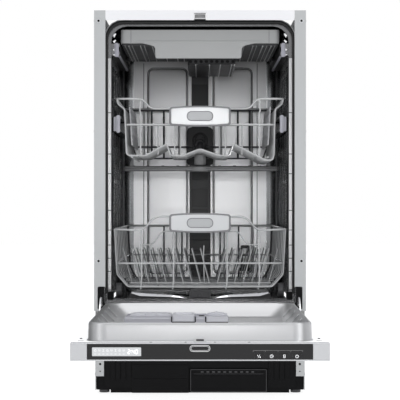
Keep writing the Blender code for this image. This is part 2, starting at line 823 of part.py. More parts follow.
def rinse_aid_cap():
    frame = Frame("rinse_aid_cap_axis", CAP_HINGE, DOOR)
    low = (0.012, CAP_HINGE[1] - 0.042, 0.1940)
    box("rinse_aid_cap", low, (0.052, CAP_HINGE[1], 0.1980), frame, GREY_PLASTIC, bevel=0.0008)


def hinge_arm(name, side):
    """A curved arm that slides through the slot beside the tub, with a bar inside the door."""
    centre = (HINGE_Y, HINGE_Z)
    inner = 0.046
    outer = 0.060
    x = sorted((side * (ARM_X - ARM_THICK / 2), side * (ARM_X + ARM_THICK / 2)))
    band = arc(centre, outer, 48, 172, 14) + arc(centre, inner, 172, 48, 12)
    arm = plate("hinge_arm_" + name, band, x[0], x[1], "X", DOOR, STAINLESS)
    web = plate(
        "arm_web_" + name,
        [(-0.150, 0.143), (HINGE_Y, 0.143), (HINGE_Y, 0.157), (-0.060, 0.163), (-0.150, 0.163)],
        x[0],
        x[1],
        "X",
        DOOR,
    )
    boss = cylinder("arm_boss_" + name, 0.0078, ARM_THICK, (side * ARM_X, *centre), "X", DOOR)
    pivot = (side * ARM_X, *centre)
    hole = cylinder("arm_hole_" + name, PIN_RADIUS + 0.0005, 0.02, pivot, "X", DOOR)
    join(arm, web, boss)
    cut(arm, hole)


# ---------------------------------------------------------------- upper basket


UPPER = Frame("upper_basket_slide", (0, BASKET_FRONT, UPPER_LOOP), CABINET)


def wire_panel(name, frame, strands, extras=()):
    """Wires welded into one piece. Each strand is its points and its radius."""
    points, radius = strands[0]
    panel = wire(name, points, radius, frame, COATED_WIRE)
    welded = [wire(f"{name}_{i}", *strand, frame) for i, strand in enumerate(strands[1:])]
    join_all(panel, welded + list(extras))


def both_ways(points, y):
    """A line across the basket from its left half, given as (x, z) points inwards, and its mirror image."""
    left = [(-x, y, z) for x, z in points]
    return left + [(x, y, z) for x, z in reversed(points) if x]


def upper_rows():
    rows = 5
    pitch = (0.424 - BASKET_FRONT) / rows
    return [BASKET_FRONT + pitch * (i + 1) for i in range(rows)]


def upper_basket():
    """The upper basket's floor: cross wires bent into a wave, on four straight runs."""
    floor_z = WAVE[0][1] + 0.0005
    strands = [(both_ways(WAVE, y), MESH_WIRE) for y in upper_rows()]
    for x in (-0.133, -0.052, 0.052, 0.133):
        run = [(x, BASKET_FRONT + PANEL_GAP, floor_z), (x, upper_rows()[-1] + 0.004, floor_z)]
        strands.append((run, MESH_WIRE + 0.0002))
    wire_panel("upper_basket", UPPER, strands)


def upper_front():
    y = BASKET_FRONT
    dip = 0.609
    edge = UPPER_HALF - 0.0005
    rim = both_ways([(edge, UPPER_TOP), (0.121, UPPER_TOP), (0.107, dip), (0.0965, dip)], y)
    frame_wire = [(edge - 0.0005, UPPER_TOP), (UPPER_LOOP_HALF, UPPER_LOOP), (0.156, 0.513), *WAVE]
    strands = [(rim, RIM_WIRE), (both_ways(frame_wire, y + 0.0004), MESH_WIRE)]
    strands.append((both_ways([(UPPER_LOOP_HALF, UPPER_LOOP)], y - 0.0002), RIM_WIRE - 0.0003))
    for x in (-0.0965, 0.0965):
        strands.append(([(x, y + 0.0003, dip + 0.0005), (x, y + 0.0003, UPPER_LOOP - 0.0005)], MESH_WIRE))
    wire_panel("upper_front", UPPER, strands)


def upper_back():
    y = UPPER_BACK
    low = 0.514
    edge = UPPER_HALF - 0.0005
    frame_wire = [(edge - 0.0005, UPPER_TOP), (UPPER_LOOP_HALF, UPPER_LOOP), (0.150, low)]
    strands = [(both_ways([(edge, UPPER_TOP)], y), RIM_WIRE), (both_ways(frame_wire, y - 0.0004), MESH_WIRE)]
    strands.append((both_ways([(UPPER_LOOP_HALF, UPPER_LOOP)], y + 0.0002), RIM_WIRE - 0.0003))
    for x in (-0.100, 0.100):
        strands.append(([(x, y - 0.0003, UPPER_TOP + 0.0005), (x, y - 0.0003, low - 0.0005)], MESH_WIRE))
    wire_panel("upper_back", UPPER, strands)


def upper_side(name, side):
    """A side of the upper basket, with the two blocks that run in the telescopic rail."""
    near = BASKET_FRONT + PANEL_GAP
    far = UPPER_BACK - PANEL_GAP

    def along(x, z):
        return [(side * x, near, z), (side * x, far, z)]

    strands = [(along(UPPER_HALF, UPPER_TOP), RIM_WIRE)]
    strands.append((along(UPPER_LOOP_HALF, UPPER_LOOP), RIM_WIRE - 0.0003))
    strands.append((along(0.1545, 0.5115), MESH_WIRE + 0.0002))
    profile = [(UPPER_HALF - 0.0005, UPPER_TOP), (UPPER_LOOP_HALF - 0.0005, UPPER_LOOP), (0.156, 0.513)]
    profile.append((0.1515, 0.5098))
    for y in upper_rows():
        strands.append(([(side * x, y, z) for x, z in profile], MESH_WIRE))
    blocks = []
    for i, y in enumerate((0.250, 0.440)):
        x = sorted((side * 0.159, side * 0.179))
        low = (x[0], y - 0.012, 0.5660)
        blocks.append(box(f"slider_{name}_{i}", low, (x[1], y + 0.012, 0.5860), UPPER))
    wire_panel("upper_side_" + name, UPPER, strands, blocks)


def basket_handle(name, low, high, front, frame):
    """A rounded grip with an arched top and bottom, hollow behind."""
    steps = 6
    rise = 0.004
    end = 0.012
    half = HANDLE_HALF
    top = [
        (half - end - 2 * (half - end) * i / steps, high - rise * (2 * i / steps - 1) ** 2)
        for i in range(steps + 1)
    ]
    outline = (
        [(-half, high - rise - end), (-half, low + rise + end)]
        + [(-u, low + rise * (2 * i / steps - 1) ** 2) for i, (u, _) in enumerate(top)]
        + [(half, low + rise + end), (half, high - rise - end)]
        + top
    )
    back = BASKET_FRONT - RIM_WIRE - GAP
    grip = plate(name, outline, front, back, "Y", frame, LIGHT_PLASTIC)
    inside = rounded(half - 0.010, low + 0.008, high - 0.008, 0.006, 0.006, 3)
    recess = plate(name + "_recess", inside, front + 0.003, back + 0.01, "Y", frame)
    mouth_half = half - 0.013
    mouth_low = (-mouth_half, front + 0.003, low - 0.01)
    cut(grip, recess, box(name + "_mouth", mouth_low, (mouth_half, back + 0.01, low + 0.012), frame))


def cup_shelf(name, side):
    """A ribbed shelf that stands against the basket's side and folds down inwards."""
    hinge = (side * 0.1470, BASKET_FRONT + 0.2, SHELF_HINGE_Z)
    frame = Frame(f"cup_shelf_{name}_axis", hinge, UPPER)
    lean = 0.0045
    thick = 0.0018
    top = 0.614
    outline = mirrored(
        [
            (0.1470 - thick, SHELF_HINGE_Z),
            (0.1470 + thick, SHELF_HINGE_Z),
            (0.1470 + lean + thick, top),
            (0.1470 + lean - thick, top),
        ],
        side,
    )
    centred = [(u - hinge[0], v - hinge[2]) for u, v in outline]
    shelf = plate("cup_shelf_" + name, centred, 0.070, 0.400, "Y", frame, GREY_PLASTIC)
    shelf.location = Vector((0, shelf.location.y, 0))
    slots = 4
    pitch = 0.330 / slots
    for i in range(slots):
        y = 0.070 + pitch * (i + 0.5)
        x = sorted((side * 0.13, side * 0.16))
        low = (x[0], y - pitch * 0.36, SHELF_HINGE_Z + 0.014)
        cut(shelf, box(f"shelf_slot_{name}_{i}", low, (x[1], y + pitch * 0.36, top - 0.012), frame))


def upper_pipe():
    """Feeds the upper spray arm from the dock on the rear duct."""
    z = 0.502
    route = [(0, UPPER_HUB_Y - 0.002, z), (0, 0.436, z), (0, 0.449, z + 0.014)]
    route += [(0, 0.449, 0.537), (0, 0.454, 0.545), (0, 0.4612, 0.545)]
    pipe = wire("upper_pipe", route, 0.0085, UPPER, DARK_PLASTIC, sides=10)
    hub = cylinder("pipe_hub", 0.016, 0.0185, (0, UPPER_HUB_Y, 0.5025), "Z", UPPER)
    pin = cylinder("pipe_pin", PIN_RADIUS, 0.028, (0, UPPER_HUB_Y, 0.4935), "Z", UPPER, sides=12)
    join(pipe, hub, pin)


def spray_arm(name, hub_y, low, high, reach, frame_above, finish):
    frame = Frame(name + "_axis", (0, hub_y, (low + high) / 2), frame_above)
    root = 0.022
    tip = 0.014
    right = arc((reach - tip, 0), tip, -90, 90, 6)
    left = arc((-reach + tip, 0), tip, 90, 270, 6)
    outline = [(0, -root), *right, (0, root), *left]
    arm = plate(name, outline, low, high, "Z", frame, finish)
    arm.location = Vector((0, 0, 0))
    hub = cylinder(name + "_hub", 0.026, high - low + 0.002, (0, hub_y, (low + high) / 2), "Z", frame)
    join(arm, hub)
    bore = PIN_RADIUS + 0.0005
    cut(arm, cylinder(name + "_bore", bore, 0.05, (0, hub_y, (low + high) / 2), "Z", frame, sides=12))


def upper_rail(name, side):
    outline = mirrored(
        [
            (0.1680, 0.560),
            (0.1845, 0.560),
            (0.1845, 0.592),
            (0.1680, 0.592),
            (0.1680, 0.5895),
            (0.1815, 0.5895),
            (0.1815, 0.5625),
            (0.1680, 0.5625),
        ],
        side,
    )
    rail = plate("upper_rail_" + name, outline, 0.030, 0.470, "Y", CABINET, STAINLESS)
    x = sorted((side * 0.1680, side * 0.1845))
    join(rail, box("rail_cap_" + name, (x[0], 0.026, 0.557), (x[1], 0.034, 0.595), CABINET))


# ---------------------------------------------------------------- cutlery tray

TRAY = Frame("cutlery_tray_slide", (0, TRAY_FRONT, TRAY_TOP), CABINET)


def cutlery_tray():
    """A shallow tray with a front cover and a floor that opens into the deep bin."""
    wall = TRAY_WALL
    half = TRAY_HALF - 0.002
    front = TRAY_FRONT + 0.006
    top = TRAY_TOP - 0.010
    tray = box("cutlery_tray", (-half, front, TRAY_LOW), (half, TRAY_BACK, top), TRAY, GREY_PLASTIC)
    cover_low = (-TRAY_HALF, TRAY_FRONT, TRAY_COVER_LOW)
    cover = box("tray_cover", cover_low, (TRAY_HALF, front + 0.002, TRAY_TOP), TRAY)
    grip_top = TRAY_COVER_LOW + 0.003
    grip = plate(
        "tray_grip",
        [
            (GRIP_LEFT, grip_top),
            (GRIP_LEFT + 0.004, TRAY_GRIP_LOW),
            (GRIP_RIGHT - 0.004, TRAY_GRIP_LOW),
            (GRIP_RIGHT, grip_top),
        ],
        TRAY_FRONT + 0.0005,
        front + 0.001,
        "Y",
        TRAY,
    )
    fins = []
    for side in (-1, 1):
        x = sorted((side * (half - 0.001), side * 0.1785))
        fins.append(box(f"tray_fin_{side}", (x[0], FIN_NEAR, FIN_LOW), (x[1], FIN_FAR, FIN_HIGH), TRAY))
        web = sorted((side * (half - wall), side * half))
        low = (web[0], FIN_NEAR, FIN_LOW + 0.0005)
        fins.append(box(f"tray_web_{side}", low, (web[1], FIN_FAR, TRAY_LOW + wall), TRAY))
    join(tray, cover, grip, *fins)
    hollow_low = (-half + wall, front + wall + 0.001, TRAY_LOW + wall)
    hollow = box("tray_hollow", hollow_low, (half - wall, TRAY_BACK - wall, 0.80), TRAY)
    well_low = (BIN_LEFT - GAP, BIN_FRONT - GAP, TRAY_LOW - 0.01)
    well_high = (BIN_RIGHT + GAP, BIN_BACK + GAP, TRAY_LOW + 0.01)
    cut(tray, hollow, box("tray_well", well_low, well_high, TRAY))


def tray_bin():
    """The deep middle compartment for large pieces."""
    wall = TRAY_WALL
    high = TRAY_LOW + 0.007
    deep = box("tray_bin", (BIN_LEFT, BIN_FRONT, BIN_LOW), (BIN_RIGHT, BIN_BACK, high), TRAY, GREY_PLASTIC)
    hollow_low = (BIN_LEFT + wall, BIN_FRONT + wall, BIN_LOW + wall)
    hollow_high = (BIN_RIGHT - wall, BIN_BACK - wall, high + 0.01)
    cut(deep, box("bin_hollow", hollow_low, hollow_high, TRAY))


# ---------------------------------------------------------------- lower basket

LOWER = Frame("lower_basket_slide", (0, BASKET_FRONT, LOWER_FLOOR), CABINET)


def lower_half(y):
    """Half the lower basket's width, which narrows towards the back."""
    share = (y - BASKET_FRONT) / (LOWER_BACK - BASKET_FRONT)
    return LOWER_HALF + (LOWER_BACK_HALF - LOWER_HALF) * share


def lower_rows():
    rows = 5
    pitch = (LOWER_BACK - BASKET_FRONT) / (rows + 1)
    return [BASKET_FRONT + pitch * (i + 1) for i in range(rows)]


def lower_profile(y):
    """Half of the basket's cross-section from the rim inwards, as (X, Z)."""
    half = lower_half(y) - 0.0008
    return [(half, LOWER_TOP), (half - 0.005, LOWER_KNEE), (LOWER_FLOOR_HALF + 0.002, LOWER_FLOOR)]


def lower_basket():
    """The lower basket's floor grid."""
    near = BASKET_FRONT + PANEL_GAP
    far = LOWER_BACK - PANEL_GAP
    half = LOWER_FLOOR_HALF
    z = LOWER_FLOOR
    edge = [(-half, near, z), (-half, far, z), (half, far, z), (half, near, z)]
    basket = wire("lower_basket", edge, RIM_WIRE - 0.0005, LOWER, COATED_WIRE, cyclic=True)
    strands = [([(-half, y, z + 0.0003), (half, y, z + 0.0003)], MESH_WIRE) for y in lower_rows()]
    strands += [([(x, near, z + 0.0006), (x, far, z + 0.0006)], MESH_WIRE - 0.0001) for x in UPRIGHTS]
    join_all(basket, [wire(f"floor_{i}", *strand, LOWER) for i, strand in enumerate(strands)])


def lower_front():
    """The front panel: rim raised over the handle, a stepped wire, the ring and four uprights."""
    y = BASKET_FRONT
    profile = lower_profile(y)
    rim = [(LOWER_HALF - 0.0003, LOWER_TOP), (0.121, LOWER_TOP), (0.102, LOWER_PEAK), (0.066, LOWER_PEAK)]
    step = [(0.128, LOWER_STEP_LOW), (0.102, LOWER_STEP_LOW)]
    step += [(0.088, LOWER_STEP_HIGH), (0.066, LOWER_STEP_HIGH)]
    strands = [(both_ways(rim, y), RIM_WIRE), (both_ways(profile, y + 0.0003), MESH_WIRE)]
    strands.append((both_ways(step, y - 0.0003), MESH_WIRE - 0.0001))
    strands.append((both_ways([(LOWER_HALF - 0.0045, LOWER_LOOP)], y), RIM_WIRE - 0.0003))
    for x in UPRIGHTS:
        top = LOWER_TOP if abs(x) > 0.121 else LOWER_PEAK
        upright = [(x, y + 0.0005, top + 0.0006), (x, y + 0.0005, LOWER_FLOOR - 0.0006)]
        strands.append((upright, MESH_WIRE + 0.0002))
    wire_panel("lower_front", LOWER, strands)


def lower_back():
    y = LOWER_BACK
    ring_z = 0.285
    half = LOWER_BACK_HALF
    strands = [(both_ways([(half - 0.0003, LOWER_TOP)], y), RIM_WIRE)]
    strands.append((both_ways(lower_profile(y), y - 0.0003), MESH_WIRE))
    strands.append((both_ways([(half - 0.0042, ring_z)], y), RIM_WIRE - 0.0003))
    for x in UPRIGHTS:
        upright = [(x, y - 0.0005, LOWER_TOP + 0.0006), (x, y - 0.0005, LOWER_FLOOR - 0.0006)]
        strands.append((upright, MESH_WIRE + 0.0002))
    wire_panel("lower_back", LOWER, strands)


def lower_side(name, side):
    """A side of the lower basket, with the two hangers that carry its wheels."""
    near = BASKET_FRONT + PANEL_GAP
    far = LOWER_BACK - PANEL_GAP

    def along(inset, z):
        return [(side * (lower_half(near) - inset), near, z), (side * (lower_half(far) - inset), far, z)]

    low_wire = [(side * 0.1572, near, 0.2345), (side * 0.1572, far, 0.2345)]
    strands = [(along(0, LOWER_TOP), RIM_WIRE), (along(0.0042, LOWER_LOOP), RIM_WIRE - 0.0003)]
    strands.append((low_wire, MESH_WIRE + 0.0002))
    for y in lower_rows():
        top, knee, _ = lower_profile(y)
        bent = [top, knee, (0.1550, 0.2310)]
        strands.append(([(side * x, y, z) for x, z in bent], MESH_WIRE))
    hangers = []
    for row, y in WHEEL_ROWS.items():
        x = sorted((side * 0.1590, side * 0.1655))
        low = (x[0], y - 0.012, 0.2120)
        hangers.append(box(f"hanger_{name}_{row}", low, (x[1], y + 0.012, 0.2440), LOWER))
        centre = (side * 0.1735, y, TUB_FLOOR + WHEEL_RADIUS + 0.0005)
        hangers.append(cylinder(f"axle_{name}_{row}", 0.003, 0.020, centre, "X", LOWER, sides=10))
    wire_panel("lower_side_" + name, LOWER, strands, hangers)


def rear_tines():
    """Two fixed rows of tines across the back half, tied by two wires."""
    root = LOWER_FLOOR + 0.0048
    lean = math.sin(TINE_LEAN) * TINE_LENGTH
    strands = []
    for y in TINE_REAR_ROWS:
        strands.append(([(-0.133, y, root), (0.133, y, root)], MESH_WIRE))
    for x in (-0.100, 0.100):
        tie = [(x, y, root + 0.0003) for y in TINE_REAR_ROWS]
        strands.append((tie, MESH_WIRE - 0.0002))
    for y in TINE_REAR_ROWS:
        for x, side in tine_line(1, TINE_COUNT):
            tip = (x + side * lean, y + 0.0002, root + TINE_LENGTH - 0.006)
            strands.append(([(x, y + 0.0002, root), tip], MESH_WIRE - 0.0001))
    wire_panel("rear_tines", LOWER, strands)


def wheel(name, x, y):
    centre = (x, y, TUB_FLOOR + WHEEL_RADIUS + 0.0005)
    frame = Frame(name + "_axis", centre, LOWER)
    half = 0.0065
    profile = [
        (0.0035, half),
        (WHEEL_RADIUS - 0.001, half),
        (WHEEL_RADIUS, half - 0.001),
        (WHEEL_RADIUS, -half + 0.001),
        (WHEEL_RADIUS - 0.001, -half),
        (0.0035, -half),
        (0.0035, half),
    ]
    turned(name, profile, centre, "X", frame, GREY_PLASTIC, 18)


def tine_line(first, last):
    """Tines a pitch apart. Those up to the middle lean left, the others lean right."""
    for i in range(first, last):
        yield TINE_FIRST + i * TINE_PITCH, -1 if i < TINE_SPLIT else 1


def tine_row(name, first, last):
    """A row of plate tines on one spindle. It leans a little forward on its stop and folds down backwards."""
    root = Vector((0, TINE_ROW_Y, TINE_ROW_Z))
    frame = Frame(f"tine_row_{name}_axis", root, LOWER)
    lean = math.sin(TINE_LEAN) * TINE_LENGTH
    tip = root.z + math.cos(TINE_LEAN) * TINE_LENGTH
    places = list(tine_line(first, last))
    spindle = [(places[0][0] - 0.004, root.y, root.z), (places[-1][0] + 0.004, root.y, root.z)]
    row = wire("tine_row_" + name, spindle, 0.0022, frame, COATED_WIRE, sides=6)
    tines = []
    for i, (x, side) in enumerate(places):
        points = [(x, root.y, root.z), (x + side * lean, root.y - TINE_FORWARD, tip)]
        tines.append(wire(f"tine_{name}_{i}", points, MESH_WIRE, frame))
    if first < TINE_SPLIT:
        points = [(0.0095, root.y, root.z), (0.0095, root.y - TINE_FORWARD, TINE_TALL)]
        tines.append(wire("tine_tall", points, MESH_WIRE, frame))
    join_all(row, tines)


def build():
    base_tray()
    service_hatch()
    top_front_rail()
    rear_brace()
    tub()
    door_gasket()
    latch_striker()
    water_duct()
    sump()
    filter_unit()
    circulation_pump()
    drain_low = (DRAIN_X - 0.030, 0.415, DRAIN_Z - 0.026)
    drain_high = (DRAIN_X + 0.030, 0.485, DRAIN_Z + 0.026)
    spigoted("drain_pump", drain_low, drain_high, DRAIN_X, DRAIN_Z, DARK_PLASTIC)
    inlet_low = (INLET_X - 0.022, 0.440, INLET_Z - 0.026)
    inlet_high = (INLET_X + 0.022, 0.485, INLET_Z + 0.026)
    spigoted("inlet_valve", inlet_low, inlet_high, INLET_X, INLET_Z, LIGHT_PLASTIC)
    for name, side in SIDES.items():
        side_panel(name, side)
        hinge_bracket(name, side)
        foot("front_" + name, side * FOOT_X, FOOT_FRONT_Y)
        upper_rail(name, side)
        hinge_arm(name, side)
        cup_shelf(name, side)
        upper_side(name, side)
        lower_side(name, side)
        for row, y in WHEEL_ROWS.items():
            wheel(f"wheel_{row}_{name}", side * WHEEL_X, y)
    door_outer_panel()
    door_liner()
    control_fascia()
    control_glass()
    for name, x in KEYS.items():
        key(name, x)
    dispenser_body()
    detergent_lid()
    rinse_aid_cap()
    upper_basket()
    upper_front()
    upper_back()
    basket_handle("upper_handle", 0.5695, 0.614, 0.0175, UPPER)
    upper_pipe()
    spray_arm("upper_spray_arm", UPPER_HUB_Y, 0.4795, 0.4915, 0.1775, UPPER, GREY_PLASTIC)
    cutlery_tray()
    tray_bin()
    lower_basket()
    lower_front()
    lower_back()
    tine_row("left", 1, TINE_SPLIT)
    tine_row("right", TINE_SPLIT, TINE_COUNT)
    rear_tines()
    basket_handle("lower_handle", 0.344, 0.3865, 0.0175, LOWER)
    spray_arm("lower_spray_arm", LOWER_HUB_Y, 0.2128, 0.2225, 0.148, CABINET, GREY_PLASTIC)


build()
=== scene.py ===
"""Looks for the slimline built-in dishwasher: fine wires, pressed steel, mouldings and materials."""

import math

import bmesh
import bpy
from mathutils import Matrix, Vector


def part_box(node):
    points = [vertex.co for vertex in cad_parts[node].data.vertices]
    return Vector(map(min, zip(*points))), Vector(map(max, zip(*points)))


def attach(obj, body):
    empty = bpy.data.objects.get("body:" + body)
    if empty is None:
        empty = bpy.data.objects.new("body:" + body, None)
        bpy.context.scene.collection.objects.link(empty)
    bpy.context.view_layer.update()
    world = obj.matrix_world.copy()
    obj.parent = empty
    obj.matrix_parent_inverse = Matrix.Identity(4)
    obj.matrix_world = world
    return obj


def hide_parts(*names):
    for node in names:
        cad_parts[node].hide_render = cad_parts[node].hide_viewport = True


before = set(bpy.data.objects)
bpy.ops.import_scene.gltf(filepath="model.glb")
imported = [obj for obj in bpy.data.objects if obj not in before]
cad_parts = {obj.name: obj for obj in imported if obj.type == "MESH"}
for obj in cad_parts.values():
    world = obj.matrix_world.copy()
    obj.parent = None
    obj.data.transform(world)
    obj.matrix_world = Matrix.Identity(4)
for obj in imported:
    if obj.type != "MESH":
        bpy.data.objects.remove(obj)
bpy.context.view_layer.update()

# The cabinet's front plane and half its width, read from the CAD
PANEL_LOW, PANEL_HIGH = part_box("side_panel_right")
FRONT = PANEL_LOW[1]
HALF = PANEL_HIGH[0]

MM = 0.001
SIDES = (("left", -1), ("right", 1))

# The camera and the measures that several pieces share, in mm
EYE_DISTANCE = 3680
EYE_HEIGHT = 414
LENS = 156.7
MOUTH = 200.0
TUB_WALL = 188.4
TUB_BACK = 499.0
HUB_Y = 250
TINE_LENGTH = 76
TINE_LEAN = math.radians(14)


def at(x, y, z):
    """A point given in mm: X from the centre line, Y from the cabinet's front plane, Z from the floor."""
    return Vector((x * MM, y * MM + FRONT, z * MM))


# ---------------------------------------------------------------- materials


def put(node, settings):
    """Set a node's sockets by name; an underscore stands for a space."""
    for name, value in settings.items():
        node.inputs[name.replace("_", " ")].default_value = value


class Finish:
    """A node material built step by step around one Principled shader."""

    def __init__(self, name, colour, roughness, metallic=0.0, **settings):
        self.material = bpy.data.materials.new(name)
        self.material.use_nodes = True
        self.tree = self.material.node_tree
        self.shader = self.tree.nodes["Principled BSDF"]
        self.colour = colour
        put(self.shader, {"Base Color": (*colour, 1), "Roughness": roughness, "Metallic": metallic})
        put(self.shader, settings)
        self.coordinates = self.add("ShaderNodeTexCoord").outputs["Object"]

    def add(self, kind, **settings):
        """A new node with its sockets set."""
        node = self.tree.nodes.new(kind)
        put(node, settings)
        return node

    def link(self, output, node_input):
        self.tree.links.new(output, node_input)

    def noise(self, scale, stretch=(1, 1, 1), detail=3.0):
        mapping = self.add("ShaderNodeMapping", Scale=stretch)
        self.link(self.coordinates, mapping.inputs["Vector"])
        texture = self.add("ShaderNodeTexNoise", Scale=scale, Detail=detail)
        self.link(mapping.outputs["Vector"], texture.inputs["Vector"])
        return texture.outputs["Fac"]

    def cells(self, scale):
        texture = self.add("ShaderNodeTexVoronoi", Scale=scale)
        self.link(self.coordinates, texture.inputs["Vector"])
        return texture.outputs["Color"]

    def ramp(self, factor, stops):
        """Base colour from (position, colour) stops."""
        ramp = self.add("ShaderNodeValToRGB")
        marks = ramp.color_ramp.elements
        while len(marks) < len(stops):
            marks.new(0.5)
        for mark, (position, colour) in zip(marks, stops):
            mark.position = position
            mark.color = (*colour, 1)
        self.link(factor, ramp.inputs["Fac"])
        self.link(ramp.outputs["Color"], self.shader.inputs["Base Color"])

    def across(self, stops, axis="X", low=-HALF, high=HALF):
        """Base colour by the place along one axis, from (mm, grey) stops."""
        split = self.add("ShaderNodeSeparateXYZ")
        self.link(self.coordinates, split.inputs["Vector"])
        share = self.add("ShaderNodeMapRange", From_Min=low, From_Max=high)
        self.link(split.outputs[axis], share.inputs["Value"])
        marks = [((place * MM - low) / (high - low), (grey, grey, grey * 1.01)) for place, grey in stops]
        self.ramp(share.outputs["Result"], marks)

    def vary_colour(self, factor, amount):
        low = tuple(c * (1 - amount) for c in self.colour)
        high = tuple(min(1, c * (1 + amount)) for c in self.colour)
        self.ramp(factor, ((0.3, low), (0.7, high)))

    def vary_roughness(self, factor, low, high):
        spread = self.add("ShaderNodeMapRange", To_Min=low, To_Max=high)
        self.link(factor, spread.inputs["Value"])
        self.link(spread.outputs["Result"], self.shader.inputs["Roughness"])

    def bump(self, factor, strength, distance=0.0001):
        bump = self.add("ShaderNodeBump", Strength=strength, Distance=distance)
        self.link(factor, bump.inputs["Height"])
        self.link(bump.outputs["Normal"], self.shader.inputs["Normal"])

    def drawn(self, grain, roughness, spread, relief):
        """Fine drawing lines along one axis of a steel sheet."""
        lines = self.noise(60, grain, 4)
        self.vary_roughness(lines, roughness - spread, roughness + spread)
        self.bump(lines, relief)
        return self.material


def steel(name, colour, roughness, grain, spread=0.08, metallic=1.0, cloud=0.05, relief=0.06):
    """Sheet steel with drawing lines and cloudy wear."""
    made = Finish(name, colour, roughness, metallic)
    made.vary_colour(made.noise(7), cloud)
    return made.drawn(grain, roughness, spread, relief)


def sheen(name, colour, roughness, grain, metallic):
    """Sheet steel seen as a soft grey, with only part of a mirror's shine."""
    return steel(name, colour, roughness, grain, 0.08, metallic, 0.03, 0.05)


def steel_with_painted_bands(name, roughness, spread, metallic, relief, stops, *span):
    """Sheet steel with soft bands of painted shade and painted highlight across it."""
    made = Finish(name, (0.9, 0.9, 0.9), roughness, metallic)
    made.across(stops, *span)
    return made.drawn((0.03, 1, 1), roughness, spread, relief)


def moulding(name, colour, roughness, grain=900, depth=0.12, coat=0.0, shine=0.5):
    """Moulded plastic with a fine spark-eroded grain and faint flow marks."""
    made = Finish(name, colour, roughness, Coat_Weight=coat, Specular_IOR_Level=shine)
    made.vary_colour(made.noise(5), 0.045)
    made.vary_roughness(made.noise(40), roughness - 0.05, roughness + 0.06)
    made.bump(made.noise(grain, detail=1), depth, 0.00008)
    return made.material


def painted(name, colour, roughness, metallic=0.0):
    """Powder coat with orange peel."""
    made = Finish(name, colour, roughness, metallic)
    made.vary_colour(made.noise(3), 0.03)
    made.vary_roughness(made.noise(25), roughness - 0.04, roughness + 0.05)
    made.bump(made.noise(420, detail=2), 0.1)
    return made.material


def zinc(name, colour, roughness):
    """Galvanised sheet with its spangle."""
    made = Finish(name, colour, roughness, 1.0)
    spangle = made.cells(90)
    made.vary_colour(spangle, 0.10)
    made.vary_roughness(spangle, roughness - 0.10, roughness + 0.10)
    made.bump(made.noise(300), 0.05)
    return made.material


def felt(name, colour):
    """The fleece of a sound mat."""
    made = Finish(name, colour, 0.95, Sheen_Weight=0.3)
    made.vary_colour(made.noise(220, detail=5), 0.25)
    made.bump(made.noise(600, detail=4), 0.7, 0.0006)
    return made.material


def glowing(name, colour, strength, background):
    """A lit display, or a surface that stays light in shade."""
    made = Finish(name, background, 0.3, Emission_Color=(*colour, 1), Emission_Strength=strength)
    made.vary_colour(made.noise(30), 0.05)
    return made.material


def glossy(name, colour, roughness):
    """Black glass."""
    coat = {"Coat_Weight": 0.1, "Coat_Roughness": 0.05}
    made = Finish(name, colour, roughness, Specular_IOR_Level=0.28, **coat)
    made.vary_colour(made.noise(6), 0.08)
    made.vary_roughness(made.noise(50), roughness * 0.7, roughness * 1.6)
    return made.material


# Grey stops across the door pan: painted shade at the left end of its rim and near the right end, with a
# painted highlight just inside the right end.
PAN_SHADE_BANDS = [(-196, 0.13), (-191, 0.22), (-185, 0.46), (-170, 0.60), (0, 0.60)]
PAN_SHADE_BANDS += [(164, 0.60), (172, 0.80), (180, 0.44), (195, 0.66)]
# Grey stops up the back wall: painted light, brightest low down and darker towards the top.
BACK_LIGHT_BANDS = ((210, 0.93), (560, 0.92), (650, 0.84), (700, 0.62), (750, 0.50))

# Stainless steel darkened for the shade inside the tub: painted shade.
TUB_STEEL_SHADED = steel("tub_steel", (0.13, 0.13, 0.133), 0.22, (1, 1, 0.03))
# A lighter copy of the tub's steel for the side walls, stripes and rear corners: painted reflections.
WALL_STEEL_LIT = steel("wall_steel_painted_sheen", (0.34, 0.345, 0.35), 0.17, (1, 1, 0.03), 0.05)
LINER_STEEL_SHADED = steel_with_painted_bands("liner_steel_painted_shade", 0.33, 0.08, 0.55, 0.05, PAN_SHADE_BANDS)
BACK_STEEL_LIT = steel_with_painted_bands("back_steel_painted_light", 0.45, 0.06, 1.0, 0.06, BACK_LIGHT_BANDS, "Z", 0.2, 0.8)
HINGE_STEEL = sheen("hinge_steel", (0.86, 0.86, 0.87), 0.2, (1, 1, 0.1), 0.5)
SCREW_STEEL = steel("screw_steel", (0.5, 0.5, 0.51), 0.3, (1, 1, 1))
ZINC = zinc("zinc", (0.64, 0.65, 0.67), 0.36)
STRIP_GREY = painted("strip_grey", (0.50, 0.51, 0.515), 0.42, 0.25)
FASCIA = painted("fascia_silver", (0.60, 0.605, 0.62), 0.40, 0.30)
WHITE = painted("white_enamel", (0.86, 0.86, 0.88), 0.35)
BLACK = moulding("black_plastic", (0.004, 0.004, 0.0045), 0.42, shine=0.12)
DARK = moulding("dark_plastic", (0.030, 0.030, 0.032), 0.40, shine=0.35)
MID_DARK = moulding("mid_dark_plastic", (0.062, 0.062, 0.065), 0.42, shine=0.35)
ARM_GREY = moulding("arm_grey", (0.30, 0.30, 0.305), 0.36)
TRAY_GREY = moulding("tray_grey", (0.36, 0.365, 0.365), 0.36)
